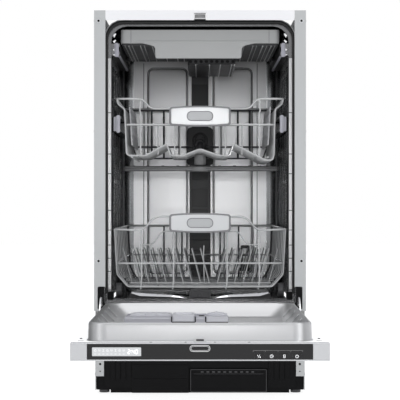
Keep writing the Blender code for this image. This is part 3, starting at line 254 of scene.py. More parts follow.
# Tray plastic darkened for the frame and bin in the shade under the cover, and for the cover's seams: painted
# shade and dark joints.
TRAY_SHADE_AND_SEAMS = moulding("tray_shade_and_seams", (0.035, 0.035, 0.037), 0.45, shine=0.3)
TRAY_RIB = moulding("tray_rib", (0.62, 0.62, 0.63), 0.36)
LAVENDER = moulding("lavender_grey", (0.40, 0.40, 0.45), 0.36)
DISPENSER = moulding("dispenser_grey", (0.46, 0.46, 0.50), 0.34)
SHELF_GREY = moulding("shelf_grey", (0.60, 0.60, 0.62), 0.38)
WHITE_PLASTIC = moulding("white_plastic", (0.60, 0.61, 0.62), 0.30, coat=0.2)
RIM_GREY = moulding("rim_grey", (0.20, 0.20, 0.21), 0.35)
BADGE = moulding("badge_grey", (0.42, 0.43, 0.44), 0.3)
BRACKET = moulding("bracket_grey", (0.55, 0.55, 0.56), 0.3)
WIRE_GREY = moulding("wire_coating", (0.52, 0.525, 0.53), 0.24, 700, 0.05, 0.4)
# Copies of the wire coating darkened for the back wires and the rear tines: painted shade.
WIRE_SHADED = moulding("wire_coating_shaded", (0.085, 0.085, 0.09), 0.28, 700, 0.05, 0.3)
WIRE_HALF_SHADED = moulding("wire_coating_half_shaded", (0.28, 0.285, 0.29), 0.28, 700, 0.05, 0.3)
RUBBER = moulding("black_rubber", (0.012, 0.012, 0.012), 0.55, 500, 0.2)
GLASS_BLACK = glossy("gloss_black", (0.013, 0.013, 0.014), 0.14)
DISPLAY = glowing("display_glow", (0.60, 0.62, 0.64), 0.78, (0.2, 0.2, 0.2))
DIGITS = glowing("digit_glow", (0.95, 0.97, 1.0), 1.15, (0.6, 0.6, 0.6))
# Printed marks with an emission that lights them up: print colour plus a painted glow.
PRINT = glowing("printed_white_painted_glow", (0.75, 0.76, 0.78), 0.7, (0.5, 0.5, 0.5))
PRINT_DIM = glowing("printed_grey_painted_glow", (0.3, 0.3, 0.31), 0.1, (0.2, 0.2, 0.2))
FELT = felt("sound_mat", (0.10, 0.10, 0.105))
# Near-black steel for the lines round the back panels: painted shadow.
GROOVE_SHADOW = steel("groove_shadow_steel", (0.10, 0.10, 0.105), 0.35, (1, 1, 0.1))
# A bright copy of the tub's steel for the lip behind the seal: painted sheen.
LIP_STEEL_LIT = sheen("lip_steel_painted_sheen", (0.52, 0.52, 0.525), 0.3, (1, 1, 0.05), 0.6)
# A near-white copy of the tub's steel for the steps in front of the filter: painted highlight.
SILL_STEEL_LIT = steel("sill_steel_painted_highlight", (0.92, 0.92, 0.93), 0.12, (0.05, 1, 1), 0.05)
WHEEL_GREY = moulding("wheel_grey", (0.15, 0.15, 0.155), 0.4)
LID_GREY = moulding("lid_grey", (0.66, 0.66, 0.70), 0.32)
# The door's flat flange as a glowing white: painted reflection.
FLANGE_GLOW = glowing("flange_painted_glow", (1.0, 1.0, 1.0), 0.42, (0.9, 0.9, 0.9))


# ---------------------------------------------------------------- geometry

AXES = {"X": Vector((1, 0, 0)), "Y": Vector((0, 1, 0)), "Z": Vector((0, 0, 1))}
SMOOTH_ANGLE = math.radians(38)


def arc(centre, radius, start, end, steps):
    """Points on a circular arc, angles in degrees."""
    turns = [math.radians(start + (end - start) * i / steps) for i in range(steps + 1)]
    return [(centre[0] + radius * math.cos(t), centre[1] + radius * math.sin(t)) for t in turns]


def rounded(left, right, low, high, low_radius, high_radius=None, steps=6):
    """A rectangle with round corners, from its lower left corner on."""
    high_radius = low_radius if high_radius is None else high_radius
    return (
        arc((left + low_radius, low + low_radius), low_radius, 180, 270, steps)
        + arc((right - low_radius, low + low_radius), low_radius, 270, 360, steps)
        + arc((right - high_radius, high - high_radius), high_radius, 0, 90, steps)
        + arc((left + high_radius, high - high_radius), high_radius, 90, 180, steps)
    )


def filleted(points, radius, cyclic=False, steps=5):
    """The path with each bend replaced by a short curve, as a bent wire has."""
    points = [Vector(p) for p in points]
    count = len(points)
    path = []
    for i, corner in enumerate(points):
        if not cyclic and i in (0, count - 1):
            path.append(corner)
            continue
        before = points[i - 1] - corner
        after = points[(i + 1) % count] - corner
        reach = min(radius, before.length * 0.48, after.length * 0.48)
        start = corner + before.normalized() * reach
        end = corner + after.normalized() * reach
        for k in range(steps + 1):
            t = k / steps
            path.append(start * (1 - t) ** 2 + corner * (2 * t * (1 - t)) + end * t**2)
    return path


def lifted(outline, depth, facing="Y"):
    """A flat outline as points, at one depth along the axis it faces."""
    place = "XYZ".index(facing)
    return [(*point[:place], depth, *point[place:]) for point in outline]


def ridge(middle, foot, top, foot_level, top_level):
    """The outline of a bar with sloping sides; foot and top are half widths."""
    return [
        (middle - foot, foot_level),
        (middle - top, top_level),
        (middle + top, top_level),
        (middle + foot, foot_level),
    ]


def around(count, radius, x=0, y=0):
    """Points spaced evenly on a circle, from the +X side on."""
    turns = [2 * math.pi * i / count for i in range(count)]
    return [(x + radius * math.cos(t), y + radius * math.sin(t)) for t in turns]


def soften(piece, width, angle, segments=2):
    """A bevel in mm on every edge sharper than an angle in degrees."""
    edge = piece.modifiers.new("bevel", "BEVEL")
    edge.width = width * MM
    edge.segments = segments
    edge.limit_method = "ANGLE"
    edge.angle_limit = math.radians(angle)
    return edge


class Shape:
    """One visual piece, gathered from simple solids. Sizes are in mm, in the cabinet's measure."""

    def __init__(self):
        self.mesh = bmesh.new()

    def box(self, low, high):
        """A box from any two opposite corners."""
        low, high = (Vector(corner) for corner in zip(*(sorted(pair) for pair in zip(low, high))))
        made = bmesh.ops.create_cube(self.mesh, size=1)["verts"]
        bmesh.ops.scale(self.mesh, vec=high - low, verts=made)
        bmesh.ops.translate(self.mesh, vec=(low + high) / 2, verts=made)

    def loft(self, rings, start_cap=True, end_cap=True):
        """A skin over rings with equally many points."""
        rows = [[self.mesh.verts.new(Vector(p)) for p in ring] for ring in rings]
        count = len(rows[0])
        for first, second in zip(rows, rows[1:]):
            for i in range(count):
                j = (i + 1) % count
                self.mesh.faces.new((first[i], first[j], second[j], second[i]))
        if start_cap:
            self.mesh.faces.new(list(reversed(rows[0])))
        if end_cap:
            self.mesh.faces.new(rows[-1])

    def prism(self, outline, start, end, facing="Y"):
        """A flat outline pulled straight from one depth to another."""
        self.loft([lifted(outline, start, facing), lifted(outline, end, facing)])

    def ring_prism(self, outer, inner, start, end, facing="Y"):
        """A frame between two outlines with equally many points."""
        rings = [lifted(outer, start, facing), lifted(outer, end, facing)]
        rings += [lifted(inner, end, facing), lifted(inner, start, facing)]
        self.loft([*rings, rings[0]], False, False)

    def cylinder(self, centre, radius, length, axis, sides):
        size = {"radius1": radius, "radius2": radius, "depth": length}
        made = bmesh.ops.create_cone(self.mesh, cap_ends=True, segments=sides, **size)["verts"]
        turn = AXES["Z"].rotation_difference(AXES[axis]).to_matrix()
        bmesh.ops.rotate(self.mesh, cent=(0, 0, 0), matrix=turn, verts=made)
        bmesh.ops.translate(self.mesh, vec=Vector(centre), verts=made)

    def lathe(self, profile, centre, axis="Z", steps=40):
        """A closed profile of (radius, height) points turned about an axis."""
        turn = AXES["Z"].rotation_difference(AXES[axis]).to_matrix()
        rings = []
        for i in range(steps + 1):
            angle = 2 * math.pi * (i % steps) / steps
            ring = [(radius * math.cos(angle), radius * math.sin(angle), z) for radius, z in profile]
            rings.append([turn @ Vector(point) + Vector(centre) for point in ring])
        self.loft(rings, False, False)

    def tube(self, path, radius, sides=8, cyclic=False):
        """A round wire swept along a path without twisting."""
        points = [Vector(p) for p in path]
        count = len(points)
        rings = []
        side = None
        for i, point in enumerate(points):
            if cyclic:
                ahead = (points[(i + 1) % count] - points[i - 1]).normalized()
            else:
                ahead = (points[min(i + 1, count - 1)] - points[max(i - 1, 0)]).normalized()
            if side is None:
                side = ahead.orthogonal().normalized()
            side = (side - ahead * side.dot(ahead)).normalized()
            other = ahead.cross(side)
            turns = [2 * math.pi * k / sides for k in range(sides)]
            rings.append([point + (side * math.cos(t) + other * math.sin(t)) * radius for t in turns])
        if cyclic:
            first = rings[0]
            last = rings[-1]
            offset = min(range(sides), key=lambda k: (first[k] - last[0]).length)
            rings.append(first[offset:] + first[:offset])
        self.loft(rings, not cyclic, not cyclic)

    def ball(self, centre, radius):
        made = bmesh.ops.create_uvsphere(self.mesh, u_segments=12, v_segments=8, radius=radius)["verts"]
        bmesh.ops.translate(self.mesh, vec=Vector(centre), verts=made)

    def done(self, name, finish, body, bevel=0.0, segments=2, replaces=()):
        """Close the piece: its mesh, its finish, the body it rides on and what it stands for."""
        bmesh.ops.remove_doubles(self.mesh, verts=self.mesh.verts, dist=0.0005)
        bmesh.ops.recalc_face_normals(self.mesh, faces=self.mesh.faces)
        for vert in self.mesh.verts:
            vert.co = at(*vert.co)
        data = bpy.data.meshes.new(name)
        self.mesh.to_mesh(data)
        self.mesh.free()
        data.materials.append(finish)
        data.shade_smooth()
        data.set_sharp_from_angle(angle=SMOOTH_ANGLE)
        piece = bpy.data.objects.new(name, data)
        bpy.context.scene.collection.objects.link(piece)
        if bevel:
            soften(piece, bevel, 40, segments).harden_normals = True
        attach(piece, body)
        if replaces:
            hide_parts(*replaces)
        return piece


def paint(node, finish, bevel=0.0):
    """Give a carried-over CAD node its finish, and soften its edges."""
    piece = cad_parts[node]
    piece.data.materials.clear()
    piece.data.materials.append(finish)
    if bevel:
        soften(piece, bevel, 50)


# ---------------------------------------------------------------- studio


def placed(name, data, place, target=None):
    """An object in the scene, in metres, aimed at a target when one is given."""
    made = bpy.data.objects.new(name, data)
    made.location = Vector(place)
    if target:
        made.rotation_euler = (Vector(target) - made.location).to_track_quat("-Z", "Y").to_euler()
    bpy.context.scene.collection.objects.link(made)
    return made


def camera():
    """A long lens straight in front, level with the middle of the open tub."""
    data = bpy.data.cameras.new("camera")
    data.sensor_width = 36
    data.lens = LENS
    data.clip_end = 50
    made = placed("camera", data, at(0, -EYE_DISTANCE, EYE_HEIGHT))
    made.rotation_euler = (math.pi / 2, 0, 0)
    bpy.context.scene.camera = made


def area_light(name, place, target, size, energy):
    """A soft rectangular lamp, sized in metres."""
    data = bpy.data.lights.new(name, "AREA")
    data.shape = "RECTANGLE"
    data.size, data.size_y = size
    data.energy = energy
    placed(name, data, place, target)


def beam(name, place, target, degrees, energy):
    """A soft narrow light straight into the tub."""
    data = bpy.data.lights.new(name, "SPOT")
    data.spot_size = math.radians(degrees)
    data.spot_blend = 1.0
    data.shadow_soft_size = 0.22
    data.energy = energy
    placed(name, data, place, target)


def studio():
    """White background, cooler fill, lamps all round, a beam into the tub and a pale floor."""
    scene = bpy.context.scene
    scene.view_settings.view_transform = "Standard"
    world = bpy.data.worlds.new("studio")
    scene.world = world
    world.use_nodes = True
    tree = world.node_tree
    seen = tree.nodes.new("ShaderNodeBackground")
    put(seen, {"Color": (1, 1, 1, 1), "Strength": 1.0})
    soft = tree.nodes["Background"]
    put(soft, {"Color": (0.90, 0.92, 0.95, 1), "Strength": 0.62})
    path = tree.nodes.new("ShaderNodeLightPath")
    mix = tree.nodes.new("ShaderNodeMixShader")
    tree.links.new(path.outputs["Is Camera Ray"], mix.inputs["Fac"])
    tree.links.new(soft.outputs["Background"], mix.inputs[1])
    tree.links.new(seen.outputs["Background"], mix.inputs[2])
    tree.links.new(mix.outputs["Shader"], tree.nodes["World Output"].inputs["Surface"])
    area_light("top", (0, -0.9, 3.0), (0, -0.2, 0.4), (2.4, 2.0), 20)
    area_light("left", (-2.3, -2.4, 1.4), (0, -0.1, 0.4), (1.2, 2.2), 10)
    area_light("right", (2.3, -2.4, 1.4), (0, -0.1, 0.4), (1.2, 2.2), 10)
    area_light("front", (0, -4.6, 1.3), (0, 0.2, 0.3), (1.8, 1.2), 7)
    area_light("back", (0, 3.0, 2.4), (0, 0, 0.4), (2.5, 1.5), 10)
    beam("into_tub", (0, -3.9, 0.60), (0, 0.24, 0.37), 8.6, 60)
    floor = bpy.data.meshes.new("floor")
    shape = bmesh.new()
    bmesh.ops.create_grid(shape, x_segments=1, y_segments=1, size=12)
    shape.to_mesh(floor)
    shape.free()
    glow = {"Emission_Color": (1, 1, 1, 1), "Emission_Strength": 0.86}
    ground = Finish("floor", (0.30, 0.30, 0.30), 0.95, **glow)
    ground.vary_colour(ground.noise(0.8), 0.01)
    floor.materials.append(ground.material)
    made = placed("floor", floor, (0, 0, -0.0005))


camera()
studio()


# ---------------------------------------------------------------- cabinet shell


def grommet(shape, x, z):
    """A white plastic cap ring in the front strip."""
    profile = [(3.1, -0.2), (4.9, -0.2), (5.0, -0.6), (4.6, -1.3), (3.5, -1.5), (2.6, -1.0), (2.6, -0.2)]
    shape.lathe(profile, (x, 0, z), "Y", 28)


def screw_head(shape, x, y, z, radius, axis="Y", out=-1):
    """A pan head with a cross slot."""
    profile = [
        (0.001, 0), (radius, 0), (radius, 0.5), (radius * 0.8, 1.1), (radius * 0.45, 1.35), (0.001, 1.35)
    ]
    shape.lathe([(r, h * out) for r, h in profile], (x, y, z), axis, 20)


def strips():
    """The front strips with their caps, screws and hinge slots."""
    caps = Shape()
    screws = Shape()
    for _, side in SIDES:
        for z in (285, 792.7):
            grommet(caps, side * 214.5, z)
            screws.lathe(
                [(0.001, 1.0), (2.5, 1.0), (2.5, -0.3), (1.4, -0.5), (0.001, 0.1)], (side * 214.5, 0, z), "Y",
                20
            )
    caps.done("strip_caps", WHITE_PLASTIC, "cabinet")
    screws.done("strip_screws", BLACK, "cabinet")
    for name, side in SIDES:
        paint("side_panel_" + name, STRIP_GREY)
        slot = Shape()
        slot.box((side * 208.5 - 7.5, 2.2, 183), (side * 208.5 + 7.5, 14, 231))
        slot.done("hinge_slot_well_" + name, BLACK, "cabinet", 0.4)
        rim = Shape()
        outer = rounded(side * 208.3 - 8.2, side * 208.3 + 8.2, 183, 231, 2.2, 3, 4)
        inner = rounded(side * 208.3 - 6.9, side * 208.3 + 6.9, 184.4, 229.6, 1.4, 2, 4)
        rim.ring_prism(outer, inner, -0.5, 0.6)
        rim.done("hinge_slot_rim_" + name, BLACK, "cabinet", 0.2)


def top_rail():
    """The top rail with the latch that catches the door."""
    paint("top_front_rail", WHITE)
    paint("rear_brace", ZINC)
    latch = Shape()
    latch.ring_prism(rounded(-12.7, 12.7, 796.4, 808, 2), rounded(-10.3, 10.3, 798.9, 806, 1.2), -1.2, 1.6)
    latch.box((-10.2, 7.2, 798.4), (10.2, 8, 806.2))
    latch.done("latch_bracket", BRACKET, "cabinet", 0.35)
    tongue = Shape()
    tongue.box((-11, -0.6, 791.8), (11, 16, 795.6))
    for x in (-22, -18, 18, 22):
        tongue.cylinder((x, 6, 793.4), 0.9, 12, "Y", 12)
    tongue.done("latch_slot", BLACK, "cabinet", 0.3)
    paint("latch_striker", MID_DARK)
    holes = Shape()
    for x in (-150, 150):
        holes.lathe(
            [(3.2, 815.6), (5.4, 815.6), (5.8, 815.1), (3.0, 813.8), (3.0, 815.2)], (x, 28, 0), "Z", 24
        )
    holes.done("worktop_eyelets", ZINC, "cabinet")


def gasket():
    """The black seal, drawn as an extruded profile with two lips that follows the mouth."""
    high = 793.4
    radius = 37.6
    path_half = MOUTH - 1.7

    def line(offset_x, offset_z, y):
        edge = path_half - offset_x
        top = high - 2.2 - offset_z
        r = radius - 2.2 - max(offset_x, offset_z)
        left = [(-edge, 216), *reversed(arc((-edge + r, top - r), r, 90, 180, 10))]
        right = [*reversed(arc((edge - r, top - r), r, 0, 90, 10)), (edge, 216)]
        return lifted(left + right, y)

    seal = Shape()
    seal.tube(line(0, 0, 11.5), 2.0, 10)
    seal.tube(line(0.4, 0.4, 16.5), 1.6, 8)
    seal.tube(line(-0.4, -0.4, 21), 2.1, 8)
    seal.tube(line(0.9, 0.9, 25.5), 1.5, 8)
    seal.done("door_seal", RUBBER, "cabinet", replaces=("door_gasket",))


def embossed_back():
    """The tub's back wall with its pressed panels standing forward by a few millimetres."""
    back = TUB_BACK
    panels = ((-122, -33), (35, 122))
    panel = Shape()
    for left, right in panels:
        outer = rounded(left - 3.2, right + 3.2, 238, 730, 14, 14, 6)
        step = rounded(left - 1.4, right + 1.4, 239.8, 728.2, 12.4, 12.4, 6)
        inner = rounded(left, right, 241, 727, 11.5, 11.5, 6)
        inset = rounded(left + 5, right - 5, 246, 722, 9, 9, 6)
        levels = ((outer, 0.6), (step, -1.2), (inner, -3.4), (inset, -4.0))
        panel.loft([lifted(outline, back + out) for outline, out in levels])
    # The whole back wall in bright steel with painted light that fades towards the top.
    panel.prism(rounded(-159, 159, 206, 781, 4), 498.8, 500.4)
    panel.done("back_panels", BACK_STEEL_LIT, "cabinet")
    # Dark lines round the panels and down the wall: painted shadow in the grooves.
    shadow = Shape()
    for left, right in panels:
        outline = rounded(left - 3.9, right + 3.9, 237.1, 730.9, 15, 15, 6)
        shadow.tube(lifted(outline, back), 1.1, 6, cyclic=True)
    for x in (-135, 137):
        shadow.tube([(x, back, 222), (x, back, 742)], 0.9, 6)
    shadow.done("back_groove_shadows", GROOVE_SHADOW, "cabinet")


def side_wall(name, side):
    """Pressed ribs that run round the tub's side walls and raised stripes, in a lighter steel that paints
    reflections on the walls; the lip behind the seal in a bright steel that paints its sheen, with painted
    dark reflection bands on it and painted shade along its inner edge.
    """
    ribs = Shape()
    for z in (262, 300, 455, 640, 690):
        profile = [(0, -5), (1.2, -2.5), (1.2, 2.5), (0, 5)]
        ribs.prism([(side * (TUB_WALL - p), z + q) for p, q in profile], 44, 478)
    ribs.done("side_ribs_" + name, WALL_STEEL_LIT, "cabinet")
    reflection_stripes = Shape()
    for y, wide, proud in (
        (60, 9, 3.0), (112, 6, 2.2), (180, 7, 2.4), (262, 7, 2.2), (350, 8, 2.4), (436, 9, 3.2)
    ):
        profile = [(-wide, 0), (-wide * 0.55, proud), (wide * 0.55, proud), (wide, 0)]
        reflection_stripes.prism([(side * (TUB_WALL - q), y + p) for p, q in profile], 248, 700, "Z")
    reflection_stripes.done("side_reflection_stripes_" + name, WALL_STEEL_LIT, "cabinet", 0.8)
    lip = Shape()
    profile = [
        (189.0, 29.5), (199.0, 29.5), (199.0, 26.2), (198.0, 25.6), (197.2, 26.2), (196.9, 29.1),
        (189.0, 29.1)
    ]
    lip.prism([(side * x, y) for x, y in profile], 224, 716, "Z")
    lip.done("mouth_lip_" + name, LIP_STEEL_LIT, "cabinet", 0.4)
    # Dark bars across the bright lip: painted dark reflections.
    bands = Shape()
    for z in (600, 512, 470, 392, 350, 318, 290, 262):
        bands.box((side * 193.5 - 5.2, 29.02, z - 0.9), (side * 193.5 + 5.2, 29.4, z + 0.9))
    bands.done("mouth_reflection_bands_" + name, DARK, "cabinet", 0.3)
    # A dark strip along the lip's inner edge: painted shade.
    shade = Shape()
    shade.prism(
        [(side * 186.6, 30.6), (side * 189.4, 30.6), (side * 189.4, 29.05), (side * 187.6, 29.05)], 224, 716,
        "Z"
    )
    shade.done("mouth_edge_shadow_" + name, DARK, "cabinet")


def tub_corner_posts():
    """The rounded rear corners, where side wall and back meet."""
    for name, side in SIDES:
        post = Shape()
        radius = 30
        curve = arc((188.6 - radius, 499.6 - radius), radius, 0, 90, 10)
        outline = [(side * x, y) for x, y in curve] + [(side * 188.6, 499.6)]
        post.prism(outline, 206, 782, "Z")
        post.done("tub_corner_" + name, WALL_STEEL_LIT, "cabinet")


def ceiling():
    """Ribs and bright reflecting folds of the tub's ceiling, painted glints at the top of the mouth, and
    painted glints at its upper corners.
    """
    folds = Shape()
    for y in (40, 62):
        folds.prism(ridge(y + 8, 8, 4, 784, 781.8), -150, 150, "X")
    glows = Shape()
    for _, side in SIDES:
        for x, wide in ((92, 9), (116, 10), (140, 9), (158, 4)):
            glows.prism(ridge(side * x, wide, wide - 3, 786.8, 788.8), 29.6, 33)
    glows.done("mouth_glints", BRACKET, "cabinet", 0.4)
    folds.done("ceiling_folds", TUB_STEEL_SHADED, "cabinet", 0.5)
    # Light steel slivers in the upper corners: painted glints.
    glints = Shape()
    for _, side in SIDES:
        for z, tall in ((765, 5), (752, 4), (735, 4), (724, 3)):
            glints.prism(
                [
                    (side * 186, z), (side * 181, z + tall), (side * 178.5, z + tall * 0.6),
                    (side * 183, z - tall)
                ],
                33, 38
            )
    glints.done("corner_glints", HINGE_STEEL, "cabinet", 0.4)


def duct():
    """The rear water duct in dark sections, its dock and its funnel."""
    body = Shape()
    body.prism(rounded(-20, 20, 588, 782.6, 2, 2, 3), 478.5, 496)
    body.prism(rounded(-25, 25, 207, 503, 2, 2, 3), 476.5, 496)
    for z in (222, 246, 270, 294, 318):
        body.box((-25.4, 475.6, z), (25.4, 480, z + 2.2))
    body.done("duct_body", MID_DARK, "cabinet", 0.8, replaces=("water_duct",))
    sections = Shape()
    for low, high, proud in ((398, 441, 1.2), (356, 392, 0.7), (462, 500, 1.0), (604, 690, 0.6)):
        sections.prism(rounded(-19.2, 19.2, low, high, 1.5, 1.5, 3), 476.5 - proud, 480)
    sections.done("duct_sections", DARK, "cabinet", 0.4)
    dock = Shape()
    dock.prism(rounded(-31.6, 31.6, 498, 588, 6, 12, 5), 474.6, 490)
    dock.ring_prism(rounded(-30, 30, 500, 586, 5, 11, 5), rounded(-27, 27, 503, 583, 4, 9, 5), 472.6, 476)
    dock.lathe([(9.2, 462), (13.4, 462), (14, 463), (14, 478), (9.2, 478)], (0, 0, 545), "Y", 32)
    arch = [(-17, 520), *reversed(arc((0, 556), 17, 0, 180, 12)), (17, 520)]
    dock.tube(lifted(arch, 473.4), 1.6, 8)
    dock.tube([(x * 0.7, 472.8, z - 2) for x, z in arch], 1.2, 8)
    dock.done("duct_dock", DARK, "cabinet", 0.5)
    rose = Shape()
    rose.lathe([(0.5, 779.6), (14, 779.6), (31, 781.4), (31, 783.6), (0.5, 783.6)], (0, HUB_Y, 0), "Z", 40)
    rose.box((-14, HUB_Y, 781), (14, 477, 783.4))
    for x, y in around(8, 20, y=HUB_Y):
        rose.cylinder((x, y, 780), 1.4, 2.2, "Z", 8)
    rose.done("ceiling_sprayer", ARM_GREY, "cabinet", 0.4)


def sump_and_filter():
    """The filter in the tub floor, the pressed steps in front of it in a bright steel that paints their
    highlights, the painted shade beneath them and black blocks of painted shade in the front corners.
    """
    plate = Shape()
    plate.lathe(
        [(27, 204.6), (73, 204.6), (74, 205.4), (73.4, 206.4), (64, 206.0), (60, 205.2), (27, 205.4)],
        (0, 215, 0), "Z", 64
    )
    plate.done("filter_sheet", TUB_STEEL_SHADED, "cabinet", replaces=("filter_unit",))
    cup = Shape()
    cup.lathe(
        [(22, 152), (26, 152), (26, 206.4), (29, 206.8), (29, 208.8), (23.6, 208.8), (22, 204)], (0, 190, 0),
        "Z", 40
    )
    for x, y in around(10, 25.4, y=190):
        cup.box((x - 0.8, y - 0.8, 160), (x + 0.8, y + 0.8, 200))
    cup.prism([(-22, 196), (-16, 209.5), (16, 209.5), (22, 196)], 187.5, 192.5)
    cup.done("filter_cup", ARM_GREY, "cabinet", 0.5)
    paint("sump", MID_DARK, 0.4)
    # Thin ridges in bright steel: painted highlights along the pressed steps.
    sill = Shape()
    for _, side in SIDES:
        rings = []
        for x, z, wide in (
            (23, 200.5, 2.5), (35, 208.0, 3.5), (60, 210.8, 5), (100, 213.4, 7), (128, 215.4, 8.5),
            (146, 217.2, 3)
        ):
            foot = z - wide * 0.7
            rings.append(
                lifted([(31, foot), (33, z), (38, z + 1.4), (45, z + 0.2), (52, foot)], side * x, "X")
            )
        sill.loft(rings)
    sill.done("sill_highlight_ridges", SILL_STEEL_LIT, "cabinet")
    # A dark band under the bright steps: painted shade.
    groove = Shape()
    for _, side in SIDES:
        outline = [(30, 199.5), (40, 205), (70, 208.4), (110, 211.4), (150, 214), (152, 206), (140, 199.5)]
        groove.prism([(side * x, z) for x, z in outline], 40, 43)
    groove.done("sill_shade", DARK, "cabinet", 0.4)
    lock = Shape()
    lock.prism([(-23, 198), (-23, 221), (-19, 223), (19, 223), (23, 221), (23, 198)], 40, 46)
    lock.box((-17, 37, 206), (17, 41, 216))
    lock.lathe([(0.5, 36), (5, 36), (6, 38), (6, 41), (0.5, 41)], (0, 0, 211), "Y", 24)
    # Black blocks in the front corners of the tub floor: painted shade.
    corners = Shape()
    for _, side in SIDES:
        left, right = sorted((side * 183.6, side * 197.4))
        corners.prism(rounded(left, right, 201, 219, 3, steps=4), 29.4, 38)
    corners.done("sill_corner_shade", BLACK, "cabinet", 0.6)
    lock.done("filter_housing", MID_DARK, "cabinet", 0.6)


strips()
top_rail()
gasket()
embossed_back()
for side_name, side_sign in SIDES:
    side_wall(side_name, side_sign)
tub_corner_posts()
ceiling()
duct()
sump_and_filter()
paint("tub", TUB_STEEL_SHADED)


# ---------------------------------------------------------------- baskets


def wires(strands, name, finish, body, replaces=(), sides=8):
    """Wires welded together. Each strand is its points, its radius, its bend radius and whether it closes."""
    shape = Shape()
    for strand in strands:
        points, radius, bend, *rest = strand
        closed = bool(rest)
        path = filleted(points, bend, closed) if bend else points
        shape.tube(path, radius, sides, closed)
    shape.done(name, finish, body, replaces=replaces)


def oval(half_x, half_z, centre_z):
    """A wide flat-ended oval, as (x, z)."""
    return rounded(-half_x, half_x, centre_z - half_z, centre_z + half_z, half_z * 0.96)


def grip_outline(half, low, high, rise, corner, steps=10):
    """The handle's outline: straight ends, round corners, an arched top and a sagging bottom."""
    inner = half - corner
    bottom = arc((-inner, low + rise + corner), corner, 180, 262, 5)
    bottom += [(inner * (2 * i / steps - 1), low + rise * (2 * i / steps - 1) ** 2) for i in range(1, steps)]
    bottom += arc((inner, low + rise + corner), corner, 278, 360, 5)
    top = arc((inner, high - rise - corner), corner, 0, 82, 5)
    top += [(-inner * (2 * i / steps - 1), high - rise * (2 * i / steps - 1) ** 2) for i in range(1, steps)]
    return bottom + top + arc((-inner, high - rise - corner), corner, 98, 180, 5)


def basket_handle(name, low, high, body, node):
    """A grey shell round a white face plate, with a plain badge, hollow behind and open below."""
    half = 65.5
    shell = Shape()
    outer = grip_outline(half, low, high, 2.6, 6)
    shell.prism(outer, 19.0, 23.0)
    inner = grip_outline(half - 4, low + 4, high - 4, 2.6, 4)
    shell.ring_prism(outer, inner, 23.0, 32.2)
    for side in (-1, 1):
        shell.box((side * 60 - 3.5, 23, high - 22), (side * 60 + 3.5, 33.5, high - 6))
        shell.box((side * 30 - 1, 23, low + 8), (side * 30 + 1, 31, high - 8))
    shell.done(name + "_shell", RIM_GREY, body, 0.7, replaces=(node,))
    face = Shape()
    face.prism(grip_outline(half - 4.2, low + 3.6, high - 3.4, 2.6, 4), 17.7, 20)
    face.done(name + "_face", WHITE_PLASTIC, body, 0.8, 3)
    middle = (low + high) / 2
    ring = Shape()
    ring.ring_prism(oval(28.2, 10.6, middle), oval(26.4, 8.8, middle), 17.2, 18.2)
    ring.done(name + "_badge_ring", RIM_GREY, body, 0.25)
    badge = Shape()
    badge.prism(oval(26.4, 8.8, middle), 17.45, 18.2)
    badge.ring_prism(oval(24.6, 7.2, middle), oval(23.8, 6.4, middle), 17.25, 17.7)
    badge.done(name + "_badge", BADGE, body, 0.2)


UPPER_WAVE = (
    (-157, 513),
    (-152, 509),
    (-116, 509),
    (-71.5, 534),
    (-62.5, 509.5),
    (-37, 509),
    (0, 523),
    (41.6, 509),
    (63, 509),
    (72, 534),
    (140, 499),
    (155, 499),
    (158.4, 512),
)
UPPER_ROWS = (35.0, 84, 133, 182, 231, 280, 329, 378, 426)


